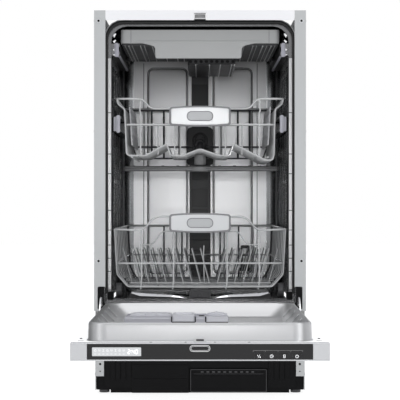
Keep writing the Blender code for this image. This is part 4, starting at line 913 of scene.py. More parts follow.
def upper_basket():
    """The upper basket: rims, cross wires, uprights, back and sliders."""
    body = "upper_basket"
    rim = 630
    loop = 575
    front = 35.0
    back = 465.0
    edge = [(107, front, 609), (121, front, rim), (179, front, rim), (179, back, rim)]
    edge += [(-179, back, rim), (-179, front, rim), (-121, front, rim), (-107, front, 609)]
    ring = [(162, back, 540), (162, 440, loop), (162, front, loop)]
    ring += [(-162, front, loop), (-162, 440, loop), (-162, back, 540)]
    nodes = ("upper_front", "upper_side_left", "upper_side_right", "upper_basket")
    wires([(edge, 2.2, 15, True), (ring, 2.0, 15)], "upper_rims", WIRE_GREY, body, nodes)
    strands = []
    for y in UPPER_ROWS:
        wave = lifted(UPPER_WAVE, y)
        side_up = [(177.4, y, rim), (175.4, y, 618.5), (161.0, y, 608.5), (159.4, y, loop)]
        path = [(-x, y, z) for x, _, z in side_up] + wave + list(reversed(side_up))
        strands.append((path, 1.6, 5))
    wires(strands, "upper_cross_wires", WIRE_GREY, body)
    strands = []
    for side in (-1, 1):
        x = side * 127
        strands.append(
            (
                [
                    (x, front, rim), (x + side * 1.5, front, 604), (x - side, front, 598),
                    (x - side * 0.5, front, loop), (x, front, 512)
                ],
                1.6, 4
            )
        )
    for x, y in ((-90, 60), (90, 60), (-54, 44), (54, 44), (-42, 84), (42, 84)):
        strands.append(([(x, y, loop - 1), (x * 1.01, y, 545), (x, y, 511)], 1.5, 4))
    for y in (44, 60, 84):
        strands.append(([(-161, y, loop + 0.4), (161, y, loop + 0.4)], 1.4, 0))
    for x in (-133, -50, 50, 122):
        low = 506.5 if x < 100 else 505.5
        strands.append(
            ([(x, front, low + 2.5), (x, 440, low + 2.5), (x, back, low + 8), (x, back, rim)], 1.8, 8)
        )
    for x in (-148, 148):
        strands.append(([(x * 0.98, front, 505.5), (x * 0.98, back, 505.5)], 1.9, 0))
    wires(strands, "upper_uprights", WIRE_GREY, body)
    strands = [([(x, back, rim - 2), (x, back, 514)], 2.2, 0) for x in (-115, -86, 90, 118)]
    strands.append(([(-176, back, rim - 3), (176, back, rim - 3)], 2.4, 0))
    strands.append(([(-160, back, 540), (160, back, 540)], 2.0, 0))
    strands.append(
        (
            [
                (-176, back, rim - 3), (-161, back, 606), (-160, back, 540), (-150, back, 513),
                (150, back, 513), (160, back, 540), (161, back, 606), (176, back, rim - 3)
            ],
            1.8, 6
        )
    )
    wires(strands, "upper_back_wires", WIRE_SHADED, body, ("upper_back",))
    sliders = Shape()
    for side in (-1, 1):
        for y in (250, 440):
            sliders.box((side * 160.5, y - 12, 566), (side * 179, y + 12, 586))
            sliders.lathe([(1.5, -8), (6.5, -8), (6.5, 8), (1.5, 8)], (side * 172, y, 576), "X", 24)
            sliders.box((side * 157, y - 8, 570), (side * 163, y + 8, 602))
    sliders.done("upper_sliders", SHELF_GREY, body, 0.8)
    basket_handle("upper_grip", 570, 614.4, body, "upper_handle")


def feed_pipe():
    """The upper basket's pipe and the hub it ends in."""
    body = "upper_basket"
    pipe = Shape()
    route = filleted([(0, 244, 502), (0, 449, 502), (0, 449, 545), (0, 461.2, 545)], 14, steps=8)
    pipe.tube(route, 8.3, 20)
    for y in (270, 330, 390):
        pipe.lathe([(7, -2), (9.3, -2), (9.3, 2), (7, 2)], (0, y, 502), "Y", 24)
    pipe.lathe([(5, 0), (11, 0), (12.4, 3), (12.4, 8), (5, 8)], (0, 452.6, 545), "Y", 28)
    pipe.done("upper_feed_pipe", MID_DARK, body, 0.4, replaces=("upper_pipe",))
    hub = Shape()
    hub.lathe(
        [(4, 493.5), (12.4, 493.5), (12.6, 498), (12.6, 512), (11.6, 516.4), (9, 517.2), (4, 517.2)],
        (0, HUB_Y, 0), "Z", 36
    )
    for x, y in around(12, 12.3, y=HUB_Y):
        hub.box((x - 0.7, y - 0.7, 496), (x + 0.7, y + 0.7, 510))
    hub.done("spray_hub", ARM_GREY, body, 0.3)


def cup_shelf(name, side):
    """A ribbed shelf in cells, standing on its hinge wire."""
    shape = Shape()
    node = "cup_shelf_" + name

    def band(low, high, near, far):
        count = max(2, round((high - low) / 3.7))
        face = []
        rear = []
        for i in range(count + 1):
            z = low + (high - low) * i / count
            centre = 147.0 + (z - 540) * 4.5 / 74
            wave = 0.7 if i % 2 else -0.7
            face.append((side * (centre - 1.4 + wave), z))
            rear.append((side * (centre + 1.4 + wave * 0.4), z))
        shape.prism(face + list(reversed(rear)), near, far)

    band(532, 553, 70, 400)
    band(601, 614, 70, 400)
    for i in range(23):
        near = 70 + i * 14.78
        band(552, 602, near, near + 4.8)
    for i in range(3):
        centre_z = 564 + 13 * i
        x = 147.0 + (centre_z - 540) * 4.5 / 74
        shape.box((side * x - 1.0, 72, centre_z - 1), (side * x + 1.0, 398, centre_z + 1))
    shape.done(node + "_ribs", SHELF_GREY, node, 0.25, 1, replaces=(node,))


def upper_rail(name, side):
    """A channel section, its balls' inner track and its end cap."""
    node = "upper_rail_" + name
    rail = Shape()
    outline = [(168, 560), (184.3, 560), (184.3, 592), (168, 592), (168, 588), (170.5, 588), (170.5, 589.6)]
    outline += [(181.6, 589.6), (181.6, 562.4), (170.5, 562.4), (170.5, 564), (168, 564)]
    rail.prism([(side * x, z) for x, z in outline], 33, 470)
    for y in (90, 200, 310, 420):
        rail.lathe([(0.5, 0), (3.6, 0), (3.6, 1.4), (0.5, 1.4)], (side * 181.6 - side * 1.2, y, 576), "X", 20)
    rail.done(node + "_channel", TUB_STEEL_SHADED, "upper_rails", 0.5, replaces=(node,))
    cap = Shape()
    left, right = sorted((side * 170.2, side * 178.4))
    cap.prism(rounded(left, right, 557.4, 595, 3.4, steps=4), 26.4, 34)
    cap.box((left + 2.4, 25.8, 565), (right - 2.4, 27, 588))
    cap.box((side * 177, 30, 561), (side * 184.2, 35, 591))
    cap.done(node + "_cap", LAVENDER, "upper_rails", 0.7)


def spray_arm(node, hub_y, low, high, left_reach, right_reach, root, tip, finish, nozzles):
    """A hollow blade that narrows towards its ends, with jets along its top."""
    blade = Shape()
    stations = []
    for side, reach in ((-1, left_reach), (1, right_reach)):
        part = [(side * (reach * t), root + (tip - root) * t**1.3) for t in (0.12, 0.35, 0.6, 0.8, 0.92)]
        part += [
            (side * (reach - 3.5), tip * 0.82), (side * (reach - 0.8), tip * 0.45), (side * reach, tip * 0.2)
        ]
        stations.append(part)
    spine = list(reversed(stations[0])) + [(0, root * 1.12)] + stations[1]
    rings = []
    for x, wide in spine:
        ends = min(1.0, 0.55 + wide / tip * 0.5)
        top = low + (high - low) * ends
        base = low + (high - low) * (1 - ends) * 0.5
        ring = [(-wide, base + 3), (-wide * 0.8, base), (wide * 0.8, base), (wide, base + 3)]
        ring += [
            (wide, top - 4), (wide * 0.72, top - 0.6), (0, top), (-wide * 0.72, top - 0.6), (-wide, top - 4)
        ]
        rings.append([(x, hub_y + y, z) for y, z in ring])
    blade.loft(rings)
    blade.lathe(
        [(4.4, low - 0.6), (25, low - 0.6), (26, low + 2), (26, high - 3), (18, high), (4.4, high + 0.2)],
        (0, hub_y, 0), "Z", 48
    )
    blade.done(node + "_blade", finish, node, 0.8, replaces=(node,))
    jets = Shape()
    for x, y in nozzles:
        jets.lathe(
            [(1.2, high - 1.6), (4.2, high - 1.6), (3.2, high + 0.8), (1.9, high + 1.0), (1.2, high)],
            (x, hub_y + y, 0), "Z", 16
        )
        jets.box((x - 3.4, hub_y + y - 0.9, high - 0.8), (x + 3.4, hub_y + y + 0.9, high + 0.5))
    jets.done(node + "_jets", DARK, node, 0.2)
    seam = Shape()
    for sign in (-1, 1):
        path = [(x, hub_y + sign * (wide + 0.15), (low + high) / 2) for x, wide in spine[2:-2]]
        seam.tube(path, 0.45, 6)
    seam.done(node + "_seam", MID_DARK, node)


def cutlery_tray():
    """The cutlery tray: cover, frame, combs, floor ribs and its deep bin."""
    body = "cutlery_tray"
    cover = Shape()
    plan_line = arc((-158, 38), 11, 180, 270, 8) + arc((158, 38), 11, 270, 360, 8)
    inner_line = arc((158, 38), 8.4, 360, 270, 8) + arc((-158, 38), 8.4, 270, 180, 8)
    sweep = [(-169, 60), *plan_line, (169, 60), (166.4, 60), *inner_line, (-166.4, 60)]
    cover.prism(sweep, 747.4, 776.6, "Z")
    grip = [(-132, 750), (-112, 745.2), (-99, 741.8), (-95.8, 737), (-95, 718.4), (-92.4, 715.4)]
    grip += [(85.4, 715.4), (88, 718.4), (89.4, 737), (93.2, 742), (106, 745.4), (128, 750)]
    cover.prism(grip, 26.4, 30.5)
    cover.prism([(-137, 749), (-133, 753), (133, 753), (137, 749)], 25.9, 28)
    cover.box((-160, 28.2, 774.6), (160, 46, 776.5))
    cover.done("tray_cover", TRAY_GREY, body, 0.9, 3, replaces=("cutlery_tray",))
    lines = Shape()
    for side in (-1, 1):
        lines.box((side * 147 - 0.35, 26.9, 748.4), (side * 147 + 0.35, 27.6, 776))
    lines.done("tray_seams", TRAY_SHADE_AND_SEAMS, body)
    # The frame and the deep bin are in tray plastic darkened as painted shade.
    rack = Shape()
    rack.ring_prism(
        rounded(-166.8, 166.8, 31, 455, 5), rounded(-164.4, 164.4, 33.4, 452.6, 3), 743, 764, "Z"
    )
    rack.ring_prism(
        rounded(-168.4, 168.4, 31, 456, 6), rounded(-163.6, 163.6, 34, 452, 3), 762.6, 766.8, "Z"
    )
    for left, right in ((-164.6, -26.2), (76.2, 164.6)):
        rack.box((left, 33.2, 743.6), (right, 452.8, 745.4))
    rack.box((-26.4, 33.2, 743.6), (76.4, 61.8, 745.4))
    rack.box((-26.4, 425.2, 743.6), (76.4, 452.8, 745.4))
    for side in (-1, 1):
        rack.box((side * 165, 320, 733.2), (side * 178.3, 445, 737.8))
        for i in range(15):
            y = 56 + 27 * i
            rack.box((side * 166, y, 744), (side * 168, y + 3, 762))
        rack.box((side * 164.6, 320, 733.4), (side * 167, 445, 745))
    rack.done("tray_frame", TRAY_SHADE_AND_SEAMS, body, 0.5)
    combs = Shape()
    for left, count in ((-158, 11), (88, 7)):
        for y, tall in ((84, 16), (170, 12), (256, 16), (342, 12), (428, 16)):
            combs.box((left - 3, y - 1.2, 745), (left + 11.6 * (count - 1) + 3, y + 1.2, 748))
            for i in range(count):
                x = left + 11.6 * i
                combs.prism(ridge(x, 2.0, 0.9, 745, 745 + tall), y - 1.4, y + 1.4)
    combs.done("tray_combs", TRAY_GREY, body, 0.3, 1)
    ribs = Shape()
    for x in (-152, -127, -102, -77, -52, -37, 94, 113, 134, 152):
        ribs.prism(ridge(x, 1.2, 0.7, 744, 741.2), 34, 452)
    for x in (-160, -145, -119, 121, 143, 160):
        ribs.prism(ridge(x, 0.7, 0.5, 744, 742.4), 34, 452)
    for x in (-9, 20.5, 44, 68, 74.6):
        ribs.prism(ridge(x, 1.1, 0.7, 705.6, 703.4), 62.4, 424.6)
    ribs.done("tray_floor_ribs", TRAY_RIB, body)
    deep = Shape()
    wall = 2.2
    outer = rounded(-25.8, 75.8, 62.2, 424.8, 6)
    inner = rounded(-25.8 + wall, 75.8 - wall, 62.2 + wall, 424.8 - wall, 4)
    deep.ring_prism(outer, inner, 705.2, 749, "Z")
    deep.prism(outer, 705, 707.4, "Z")
    for i in range(21):
        y = 74 + 17 * i
        deep.box((-26.6, y, 707), (-25, y + 2.4, 746))
        deep.box((75, y, 707), (76.6, y + 2.4, 746))
    for i in range(8):
        x = -20 + 12.9 * i
        deep.box((x - 0.9, 61.2, 707), (x + 0.9, 63, 742))
    deep.done("tray_bin_shell", TRAY_SHADE_AND_SEAMS, body, 0.5, replaces=("tray_bin",))
    holes = Shape()
    for i in range(9):
        x = -20.5 + 11.4 * i
        holes.prism(rounded(x - 3.4, x + 3.4, 708.4, 714.4, 2.2, steps=4), 61.0, 62.6)
    holes.done("tray_bin_holes", BLACK, body)


def tray_rails():
    """The toothed plastic rails the tray's fins run in, with their end pills."""
    for name, side in SIDES:
        rail = Shape()
        for i in range(30):
            y = 48 + 14 * i
            rail.box((side * 170.4, y, 719.8), (side * 175, y + 6, 724))
        rail.done("tray_rail_teeth_" + name, LAVENDER, "cabinet", 0.4, 1)
        back = Shape()
        back.box((side * 171, 44, 721.6), (side * 188, 466, 723.6))
        back.box((side * 170.6, 44, 723), (side * 171.4, 466, 747))
        back.done("tray_rail_web_" + name, DARK, "cabinet")
        pill = Shape()
        inner, outer = sorted((side * 173, side * 182.4))
        pill.prism(rounded(inner, outer, 718.6, 748.8, 4.2, steps=5), 27, 36)
        pill.prism(rounded(inner + 2.4, outer - 2.4, 724, 745, 1.9, steps=5), 26.2, 28)
        pill.done("tray_rail_end_" + name, LAVENDER, "cabinet", 0.9, 3)


LOWER_ROWS = (78.0, 126, 174, 222, 270, 318, 366, 414)


def lower_half(y):
    """Half the lower basket's width, which narrows towards the back."""
    return 184 - 11 * (y - 35) / 435


def lower_basket():
    """The lower basket: rims, cross wires, uprights and back."""
    body = "lower_basket"
    front = 35.0
    back = 470.0
    rim = 351.6
    edge = [(97, front, 378.6), (122, front, 349), (184, front, rim), (173, back, 353)]
    edge += [(-173, back, 353), (-184, front, rim), (-122, front, 349), (-97, front, 378.6)]
    ring = [(179.5, front, 279), (168.6, back, 284), (-168.6, back, 284), (-179.5, front, 279)]
    step = [
        (-128, front - 0.5, 318.6), (-102, front - 0.5, 318.6), (-80.5, front - 0.5, 347),
        (-60, front - 0.5, 347)
    ]
    nodes = ("lower_front", "lower_side_left", "lower_side_right", "lower_basket")
    strands = [(edge, 2.2, 14, True), (ring, 2.0, 14, True), (step, 1.5, 7)]
    strands.append(([(-x, y, z) for x, y, z in step], 1.5, 7))
    wires(strands, "lower_rims", WIRE_GREY, body, nodes)
    strands = []
    for y in (front, *LOWER_ROWS):
        half = lower_half(y) - 1.4
        side_up = [(half, y, rim), (half - 5, y, 256), (154, y, 229), (0, y, 228)]
        path = [(-x, y, z) for x, _, z in side_up] + [(x, y, z) for x, _, z in reversed(side_up[:-1])]
        strands.append((path, 1.6, 6))
    wires(strands, "lower_cross_wires", WIRE_GREY, body)
    strands = []
    for x, top in ((-124.7, rim), (-56.4, 352), (57.8, 352), (126.8, rim)):
        feet = [
            (x, front, top), (x, front, 240), (x - 2.5, front + 1, 223), (x - 2.5, 50, 222.6), (x, 66, 228.8)
        ]
        strands.append(([*feet, (x, 447, 228.8), (x, back, 236), (x, back, 352)], 1.8, 7))
    for side in (-1, 1):
        strands.append(([(side * 157.2, front, 234.5), (side * 157.2, back, 234.5)], 1.9, 0))
        strands.append(([(side * 90, front, 229.4), (side * 90, back, 229.4)], 1.7, 0))
    wires(strands, "lower_uprights", WIRE_GREY, body)
    half = lower_half(back) - 2
    path = [
        (-half, back, 352), (-half + 5, back, 256), (-152, back, 229), (152, back, 229),
        (half - 5, back, 256), (half, back, 352)
    ]
    strands = [(path, 1.8, 6)]
    for x in (-86, -43, 48, 92):
        strands.append(([(x, back, 353), (x, back, 229)], 1.8, 0))
    wires(strands, "lower_back_wires", WIRE_SHADED, body, ("lower_back",))
    basket_handle("lower_grip", 344, 386.5, body, "lower_handle")
    rear_tines()
    hangers()


TINES = tuple(range(1, 16))
FRONT_TINES = tuple(range(17))


def tine_place(k):
    """Where a tine's foot and its tip are across the basket."""
    x = -148 + 18.6 * k
    lean = TINE_LENGTH * math.sin(TINE_LEAN)
    return x, x - lean if k < 10 else x + lean


def rear_tines():
    """The fixed rows of tines and the glass clip."""
    strands = []
    root = 232.8
    for y in (240.0, 390.0):
        strands.append(([(-136, y, root), (136, y, root)], 1.8, 0))
        for k in TINES:
            x, tip = tine_place(k)
            strands.append(([(x, y, root - 3), (x, y, root + 2), (tip, y, root + 70)], 1.3, 3))
    for x in (-100, 100):
        strands.append(([(x, 240, root + 0.3), (x, 390, root + 0.3)], 1.7, 0))
    wires(strands, "rear_tine_wires", WIRE_HALF_SHADED, "lower_basket", ("rear_tines",))
    clip = Shape()
    clip.ring_prism(rounded(96, 117, 248, 307, 3, steps=4), rounded(101, 112, 262, 300, 3, steps=4), 432, 437)
    clip.box((94, 430, 246), (118, 440, 254))
    clip.box((96, 431, 282), (117, 438, 285))
    clip.done("glass_clip", DARK, "lower_basket", 0.6)


def hangers():
    """The brackets that carry the wheels."""
    for name, side in SIDES:
        shape = Shape()
        for y in (100, 400):
            outline = [(y - 14, 244), (y + 14, 244), (y + 9, 222), (y + 5, 213), (y - 5, 213), (y - 9, 222)]
            left, right = sorted((side * 160.5, side * 165.5))
            shape.prism(outline, left, right, "X")
            shape.box((side * 153, y - 11, 231), (side * 163, y + 11, 238))
            shape.lathe([(0.5, -10), (3.0, -10), (3.0, 10), (0.5, 10)], (side * 173.5, y, 219.5), "X", 16)
            shape.lathe([(0.5, -1), (6, -1), (6, 1.4), (0.5, 1.4)], (side * 167.3, y, 219.5), "X", 20)
        shape.done("wheel_hangers_" + name, MID_DARK, "lower_basket", 0.7)


def wheel(node, side, y):
    """A wheel: tyre, hub and six spokes."""
    tyre = Shape()
    centre = (side * 175.5, y, 219.5)
    tyre.lathe([(11.4, -6), (13.6, -6.5), (15, -5), (15, 5), (13.6, 6.5), (11.4, 6)], centre, "X", 40)
    tyre.done(node + "_tyre", WHEEL_GREY, node, replaces=(node,))
    hub = Shape()
    hub.lathe([(3.4, -5.6), (6, -5.6), (6, 5.6), (3.4, 5.6)], centre, "X", 28)
    hub.lathe([(4, -1.2), (12.2, -1.2), (12.2, 1.2), (4, 1.2)], centre, "X", 28)
    for i in range(6):
        angle = math.pi / 3 * i
        foot = Vector((0, math.cos(angle), math.sin(angle)))
        across = Vector((0, -math.sin(angle), math.cos(angle))) * 1.1
        half = Vector((4.6, 0, 0))
        section = (across - half, across + half, half - across, -across - half)
        ends = (Vector(centre) + foot * 5, Vector(centre) + foot * 12.2)
        hub.loft([[point + corner for corner in section] for point in ends])
    hub.done(node + "_hub", WHEEL_GREY, node, 0.25, 1)


def tine_row(name, tines):
    """A folding row of tines on its spindle, with its latch tab."""
    node = "tine_row_" + name
    y = 90.0
    root = 234.0
    reach = TINE_LENGTH * math.cos(TINE_LEAN)
    first = tine_place(tines[0])[0]
    last = tine_place(tines[-1])[0]
    strands = [([(first - 4, y, root), (last + 4, y, root)], 2.1, 0)]
    for k in tines:
        x, tip = tine_place(k)
        strands.append(([(x, y, root - 1), (x, y, root + 3), (tip, y - 4, root + reach)], 1.4, 3))
        strands.append(([(x - 2.4, y, root), (x + 2.4, y, root)], 2.7, 0))
    if name == "left":
        strands.append(([(9.5, y, root), (7.5, y - 2, 296), (8.5, y - 4, 315.6)], 1.4, 6))
    wires(strands, node + "_wires", WIRE_GREY, node, (node,), 10)
    tips = Shape()
    for k in tines:
        tips.ball((tine_place(k)[1], y - 4, root + reach), 1.6)
    tips.done(node + "_tips", WIRE_GREY, node)


upper_basket()
feed_pipe()
for side_name, side_sign in SIDES:
    cup_shelf(side_name, side_sign)
    upper_rail(side_name, side_sign)
UPPER_JETS = ((-150, 2), (-118, -3), (-84, 3), (-50, -3), (44, 3), (78, -3), (112, 3), (134, -2), (152, 2))
spray_arm("upper_spray_arm", HUB_Y, 479, 490.8, 172.5, 177, 21, 13.5, ARM_GREY, UPPER_JETS)
cutlery_tray()
tray_rails()
lower_basket()
for side_name, side_sign in SIDES:
    for row_name, row_y in (("front", 100), ("rear", 400)):
        wheel(f"wheel_{row_name}_{side_name}", side_sign, row_y)
tine_row("left", FRONT_TINES[:10])
tine_row("right", FRONT_TINES[10:])
LOWER_JETS = ((-124, 2), (-96, -3), (-66, 3), (-40, -3), (42, 3), (70, -3), (98, 3), (126, -2))
spray_arm("lower_spray_arm", HUB_Y, 212.8, 222.4, 148, 148, 21, 13.5, ARM_GREY, LOWER_JETS)


# ---------------------------------------------------------------- door


def plan(half, near, far, z, radius):
    """One level of the pan, seen from above."""
    return lifted(rounded(-half, half, near, far, radius, steps=10), z, "Z")


def flange_line(half, near, far):
    """The flange's outline, with a notch at each hinge ear.

    It has as many points as a rounded outline of ten steps, so the two can be joined.
    """
    inner = 202.8
    ear = -40.5
    right = [(half, ear), (half - 2, ear), (half - 8, ear), (half - 14, ear), (inner, ear), (inner, ear + 3)]
    right += [(inner, ear + 9), (inner, ear + 16), (inner, ear + 23), (inner, far), (inner - 4, far)]
    left = [(-x, y) for x, y in reversed(right)]
    return rounded(-half, half, near, far, 2, 2, 10)[:22] + right + left


def door_liner():
    """The pressed steel inner door: flat flange, raised rim, sloping walls and a ribbed floor."""
    levels = [
        lifted(flange_line(223.9, -664.2, -10), 166.6, "Z"),
        lifted(flange_line(224, -664.2, -10), 168, "Z"),
        plan(199, -662.6, -69.4, 168, 39),  # foot of the raised rim
        plan(197.4, -661.4, -70.8, 168.8, 37.4),
        plan(196.4, -660.4, -71.6, 171, 36.4),
        plan(195.8, -659.8, -72.2, 196, 35.8),
        plan(195.2, -659.2, -72.8, 199.2, 35.2),
        plan(193.6, -657.6, -74.4, 200.9, 33.6),  # top of the rim
        plan(191.6, -655.6, -76.4, 200.5, 31.6),
        plan(190, -654.4, -78, 198.4, 31),
        plan(168.6, -634.2, -101.4, 175.4, 30),  # foot of the sloping wall
        plan(166.4, -632, -103.6, 173.4, 29.4),
        plan(163, -629, -107, 172.7, 28),
    ]
    liner = Shape()
    liner.loft(levels, False, True)
    # The pan's steel carries painted shade and a painted highlight in bands across it.
    piece = liner.done("door_pan", LINER_STEEL_SHADED, "door", replaces=("door_liner",))
    sheet = piece.modifiers.new("sheet", "SOLIDIFY")
    sheet.thickness = MM
    sheet.offset = -1
    # A thin glowing sheet over the flange: painted reflection.
    flange = Shape()
    outer = flange_line(223.6, -664, -10.4)
    inner = rounded(-199.4, 199.4, -662.8, -69, 39, 39, 10)
    flange.ring_prism(outer, inner, 168.0, 168.35, "Z")
    flange.done("door_flange", FLANGE_GLOW, "door")
    ribs = Shape()
    for side in (-1, 1):
        for i in range(5):
            y = -590 + 112 * i
            rings = []
            for x, z, wide in ((187.5, 196.6, 8), (184, 193.6, 15), (172, 180.4, 15), (169, 177, 8)):
                rings.append([
                    (side * x, y - wide - 3, z - 0.6),
                    (side * (x - 1.3), y - wide, z + 0.9),
                    (side * (x - 1.3), y + wide, z + 0.9),
                    (side * x, y + wide + 3, z - 0.6),
                ])
            ribs.loft(rings)
    for places, start, end in (((-112, -56, 56, 112), -300, -130), ((-112, 112), -600, -430)):
        for x in places:
            ribs.prism(ridge(x, 14, 10, 172.4, 174.2), start, end)
    ribs.done("door_pan_ribs", LINER_STEEL_SHADED, "door", 0.6)
    dots = Shape()
    for side in (-1, 1):
        dots.box((side * 208 - 5, -640, 167.9), (side * 208 + 5, -636.6, 168.7))
        for y in (-598, -330):
            head = [(0.4, 168), (2.6, 168.2), (2.6, 169), (1.6, 169.8), (0.4, 169.8)]
            dots.lathe(head, (side * 210.5, y, 0), "Z", 20)
        dots.box((side * 209 - 2.6, -92, 167.9), (side * 209 + 2.6, -30, 168.6))
    for x in (-85, -25, 26, 85):
        dots.lathe(
            [(0.4, 167.8), (2.3, 167.8), (2.3, 168.3), (1.2, 168.7), (0.4, 168.7)], (x, -671.5, 0), "Z", 16
        )
    dots.done("door_screws", MID_DARK, "door")
    seal = Shape()
    seal.tube([(-186, -66, 169.6), (186, -66, 169.6)], 2.2, 10)
    seal.tube([(-186, -61, 169.2), (186, -61, 169.2)], 1.4, 8)
    seal.done("door_lower_seal", RUBBER, "door")


def door_shell():
    """The door's outer sheet with its beads and slots."""
    paint("door_outer_panel", ZINC, 0.6)
    beads = Shape()
    for x in (-150, 0, 150):
        beads.prism(ridge(x, 10, 7, 139.2, 138.2), -600, -90)
    beads.done("door_shell_beads", ZINC, "door", 0.3)
    slots = Shape()
    for side in (-1, 1):
        for y in (-560, -330, -120):
            slots.prism(
                rounded(side * 190 - 3.4, side * 190 + 3.4, y - 14, y + 14, 3.2, steps=5), 138.7, 139.2, "Z"
            )
            slots.lathe(
                [(0.4, 138.0), (3.4, 138.0), (4.2, 139.1), (0.4, 139.1)], (side * 190, y + 34, 0), "Z", 20
            )
    slots.done("door_shell_slots", DARK, "door")


def dispenser():
    """The dispenser: trim, blocks, window, detergent lid and rinse aid cap."""
    paint("dispenser_body", DISPENSER)
    trim = Shape()
    trim.ring_prism(
        rounded(-140, 51, -399.6, -321.4, 9), rounded(-137, 48, -396.8, -324.2, 7), 193.2, 195.0, "Z"
    )
    trim.ring_prism(
        rounded(-133.4, -52.6, -398.6, -322.2, 5), rounded(-130.6, -55.4, -395.4, -325, 4), 193.2, 194.1, "Z"
    )
    trim.box((-50, -380, 193.2), (-44, -342, 196.2))
    trim.done("dispenser_trim", DISPENSER, "door", 0.5)
    block = Shape()
    block.prism(rounded(-52.4, -10, -403.4, -330, 5), 185, 197.6, "Z")
    for y in (-380, -368, -356, -344):
        block.box((-46, y, 197), (-16, y + 4, 198.6))
    block.prism(rounded(12, 52.6, -403.4, -390, 3), 184.6, 194.4, "Z")
    block.done("dispenser_blocks", LID_GREY, "door", 0.7, 3)
    # Black bars along the lids' edges: painted shadow lines.
    gaps = Shape()
    for x in (-53.6, -8.8, 10.6):
        gaps.box((x - 0.9, -402.9, 184), (x + 0.9, -398, 194.4))
    gaps.box((-53, -403.0, 183), (-9.6, -399, 184.8))
    gaps.box((11.4, -403.0, 182.6), (53, -399, 184.4))
    gaps.done("dispenser_gap_shadows", BLACK, "door")
    eye = Shape()
    eye.lathe([(0.4, 194), (5.4, 194), (5.4, 195.6), (4.2, 196.2), (0.4, 196.4)], (3, -386, 0), "Z", 24)
    eye.done("rinse_window", DARK, "door")
    lid = Shape()
    lid.prism(rounded(-131.6, -54.4, -395.6, -323.4, 7), 194.2, 197.0, "Z")
    lid.prism(rounded(-127, -59, -391, -328, 6), 196.4, 198.2, "Z")
    for i in range(4):
        lid.box((-122 + 14 * i, -372, 197.6), (-114 + 14 * i, -340, 198.9))
    lid.prism(rounded(-104, -82, -398.2, -389, 3), 194.6, 199.4, "Z")
    lid.lathe([(1.2, -30), (2.6, -30), (2.6, 30), (1.2, 30)], (-93, -323.2, 195.6), "X", 16)
    lid.done(
        "detergent_lid_cover", LID_GREY, "detergent_lid", 0.6, 3, replaces=("detergent_lid",),
    )
    cap = Shape()
    cap.prism(rounded(12.4, 51.6, -380.6, -339.4, 8), 194.2, 197.4, "Z")
    cap.lathe([(0.5, 197), (14, 197), (14.6, 198.6), (13.6, 199.8), (0.5, 199.8)], (32, -360, 0), "Z", 36)
    cap.box((29.6, -372, 199.2), (34.4, -348, 201.2))
    cap.lathe([(1.2, -14), (2.4, -14), (2.4, 14), (1.2, 14)], (32, -339.4, 195.6), "X", 16)
    cap.done(
        "rinse_aid_cap_cover", LID_GREY, "rinse_aid_cap", 0.6, 3, replaces=("rinse_aid_cap",),
    )


def hinges():
    """The hinge arms, brackets and pins."""
    for name, side in SIDES:
        paint("hinge_arm_" + name, HINGE_STEEL, 0.4)
        paint("hinge_bracket_" + name, ZINC, 0.3)
        pin = Shape()
        pin.lathe(
            [(0.5, -4.6), (3.6, -4.6), (3.9, -4.2), (3.9, 4.2), (3.6, 4.6), (0.5, 4.6)],
            (side * 209.8, -22, 150), "X", 24
        )
        pin.lathe([(4.2, -0.9), (6.2, -0.9), (6.2, 0.9), (4.2, 0.9)], (side * 214.0, -22, 150), "X", 24)
        pin.done("hinge_pin_" + name, SCREW_STEEL, "cabinet")


# ---------------------------------------------------------------- control panel


FACE = -680.25


def bar(shape, x, z, wide, tall, thick=0.25):
    """A straight print mark on the panel's face."""
    shape.box((x - wide / 2, FACE - thick, z - tall / 2), (x + wide / 2, FACE + 0.4, z + tall / 2))


SEGMENTS = {"2": "abged", "0": "abcdef", "4": "fgbc"}


def digit(shape, x, z, lit):
    """A seven-segment digit, 3.4 mm wide and 7 mm tall."""
    half = 1.7
    tall = 3.5
    places = {"a": (0, tall), "g": (0, 0), "d": (0, -tall)}
    stands = {"f": (-half, 1), "b": (half, 1), "e": (-half, -1), "c": (half, -1)}
    for name in SEGMENTS[lit]:
        if name in places:
            bar(shape, x, z + places[name][1], 2.6, 0.9, 0.5)
        else:
            sign = stands[name][1]
            bar(shape, x + stands[name][0], z + sign * tall / 2, 0.9, 2.6, 0.5)


def ring_mark(shape, x, z, radius, thick, start=0, end=360):
    """A thin printed ring or part of one."""
    shape.tube(lifted(arc((x, z), radius, start, end, 20), FACE - 0.1), thick / 2, 6)


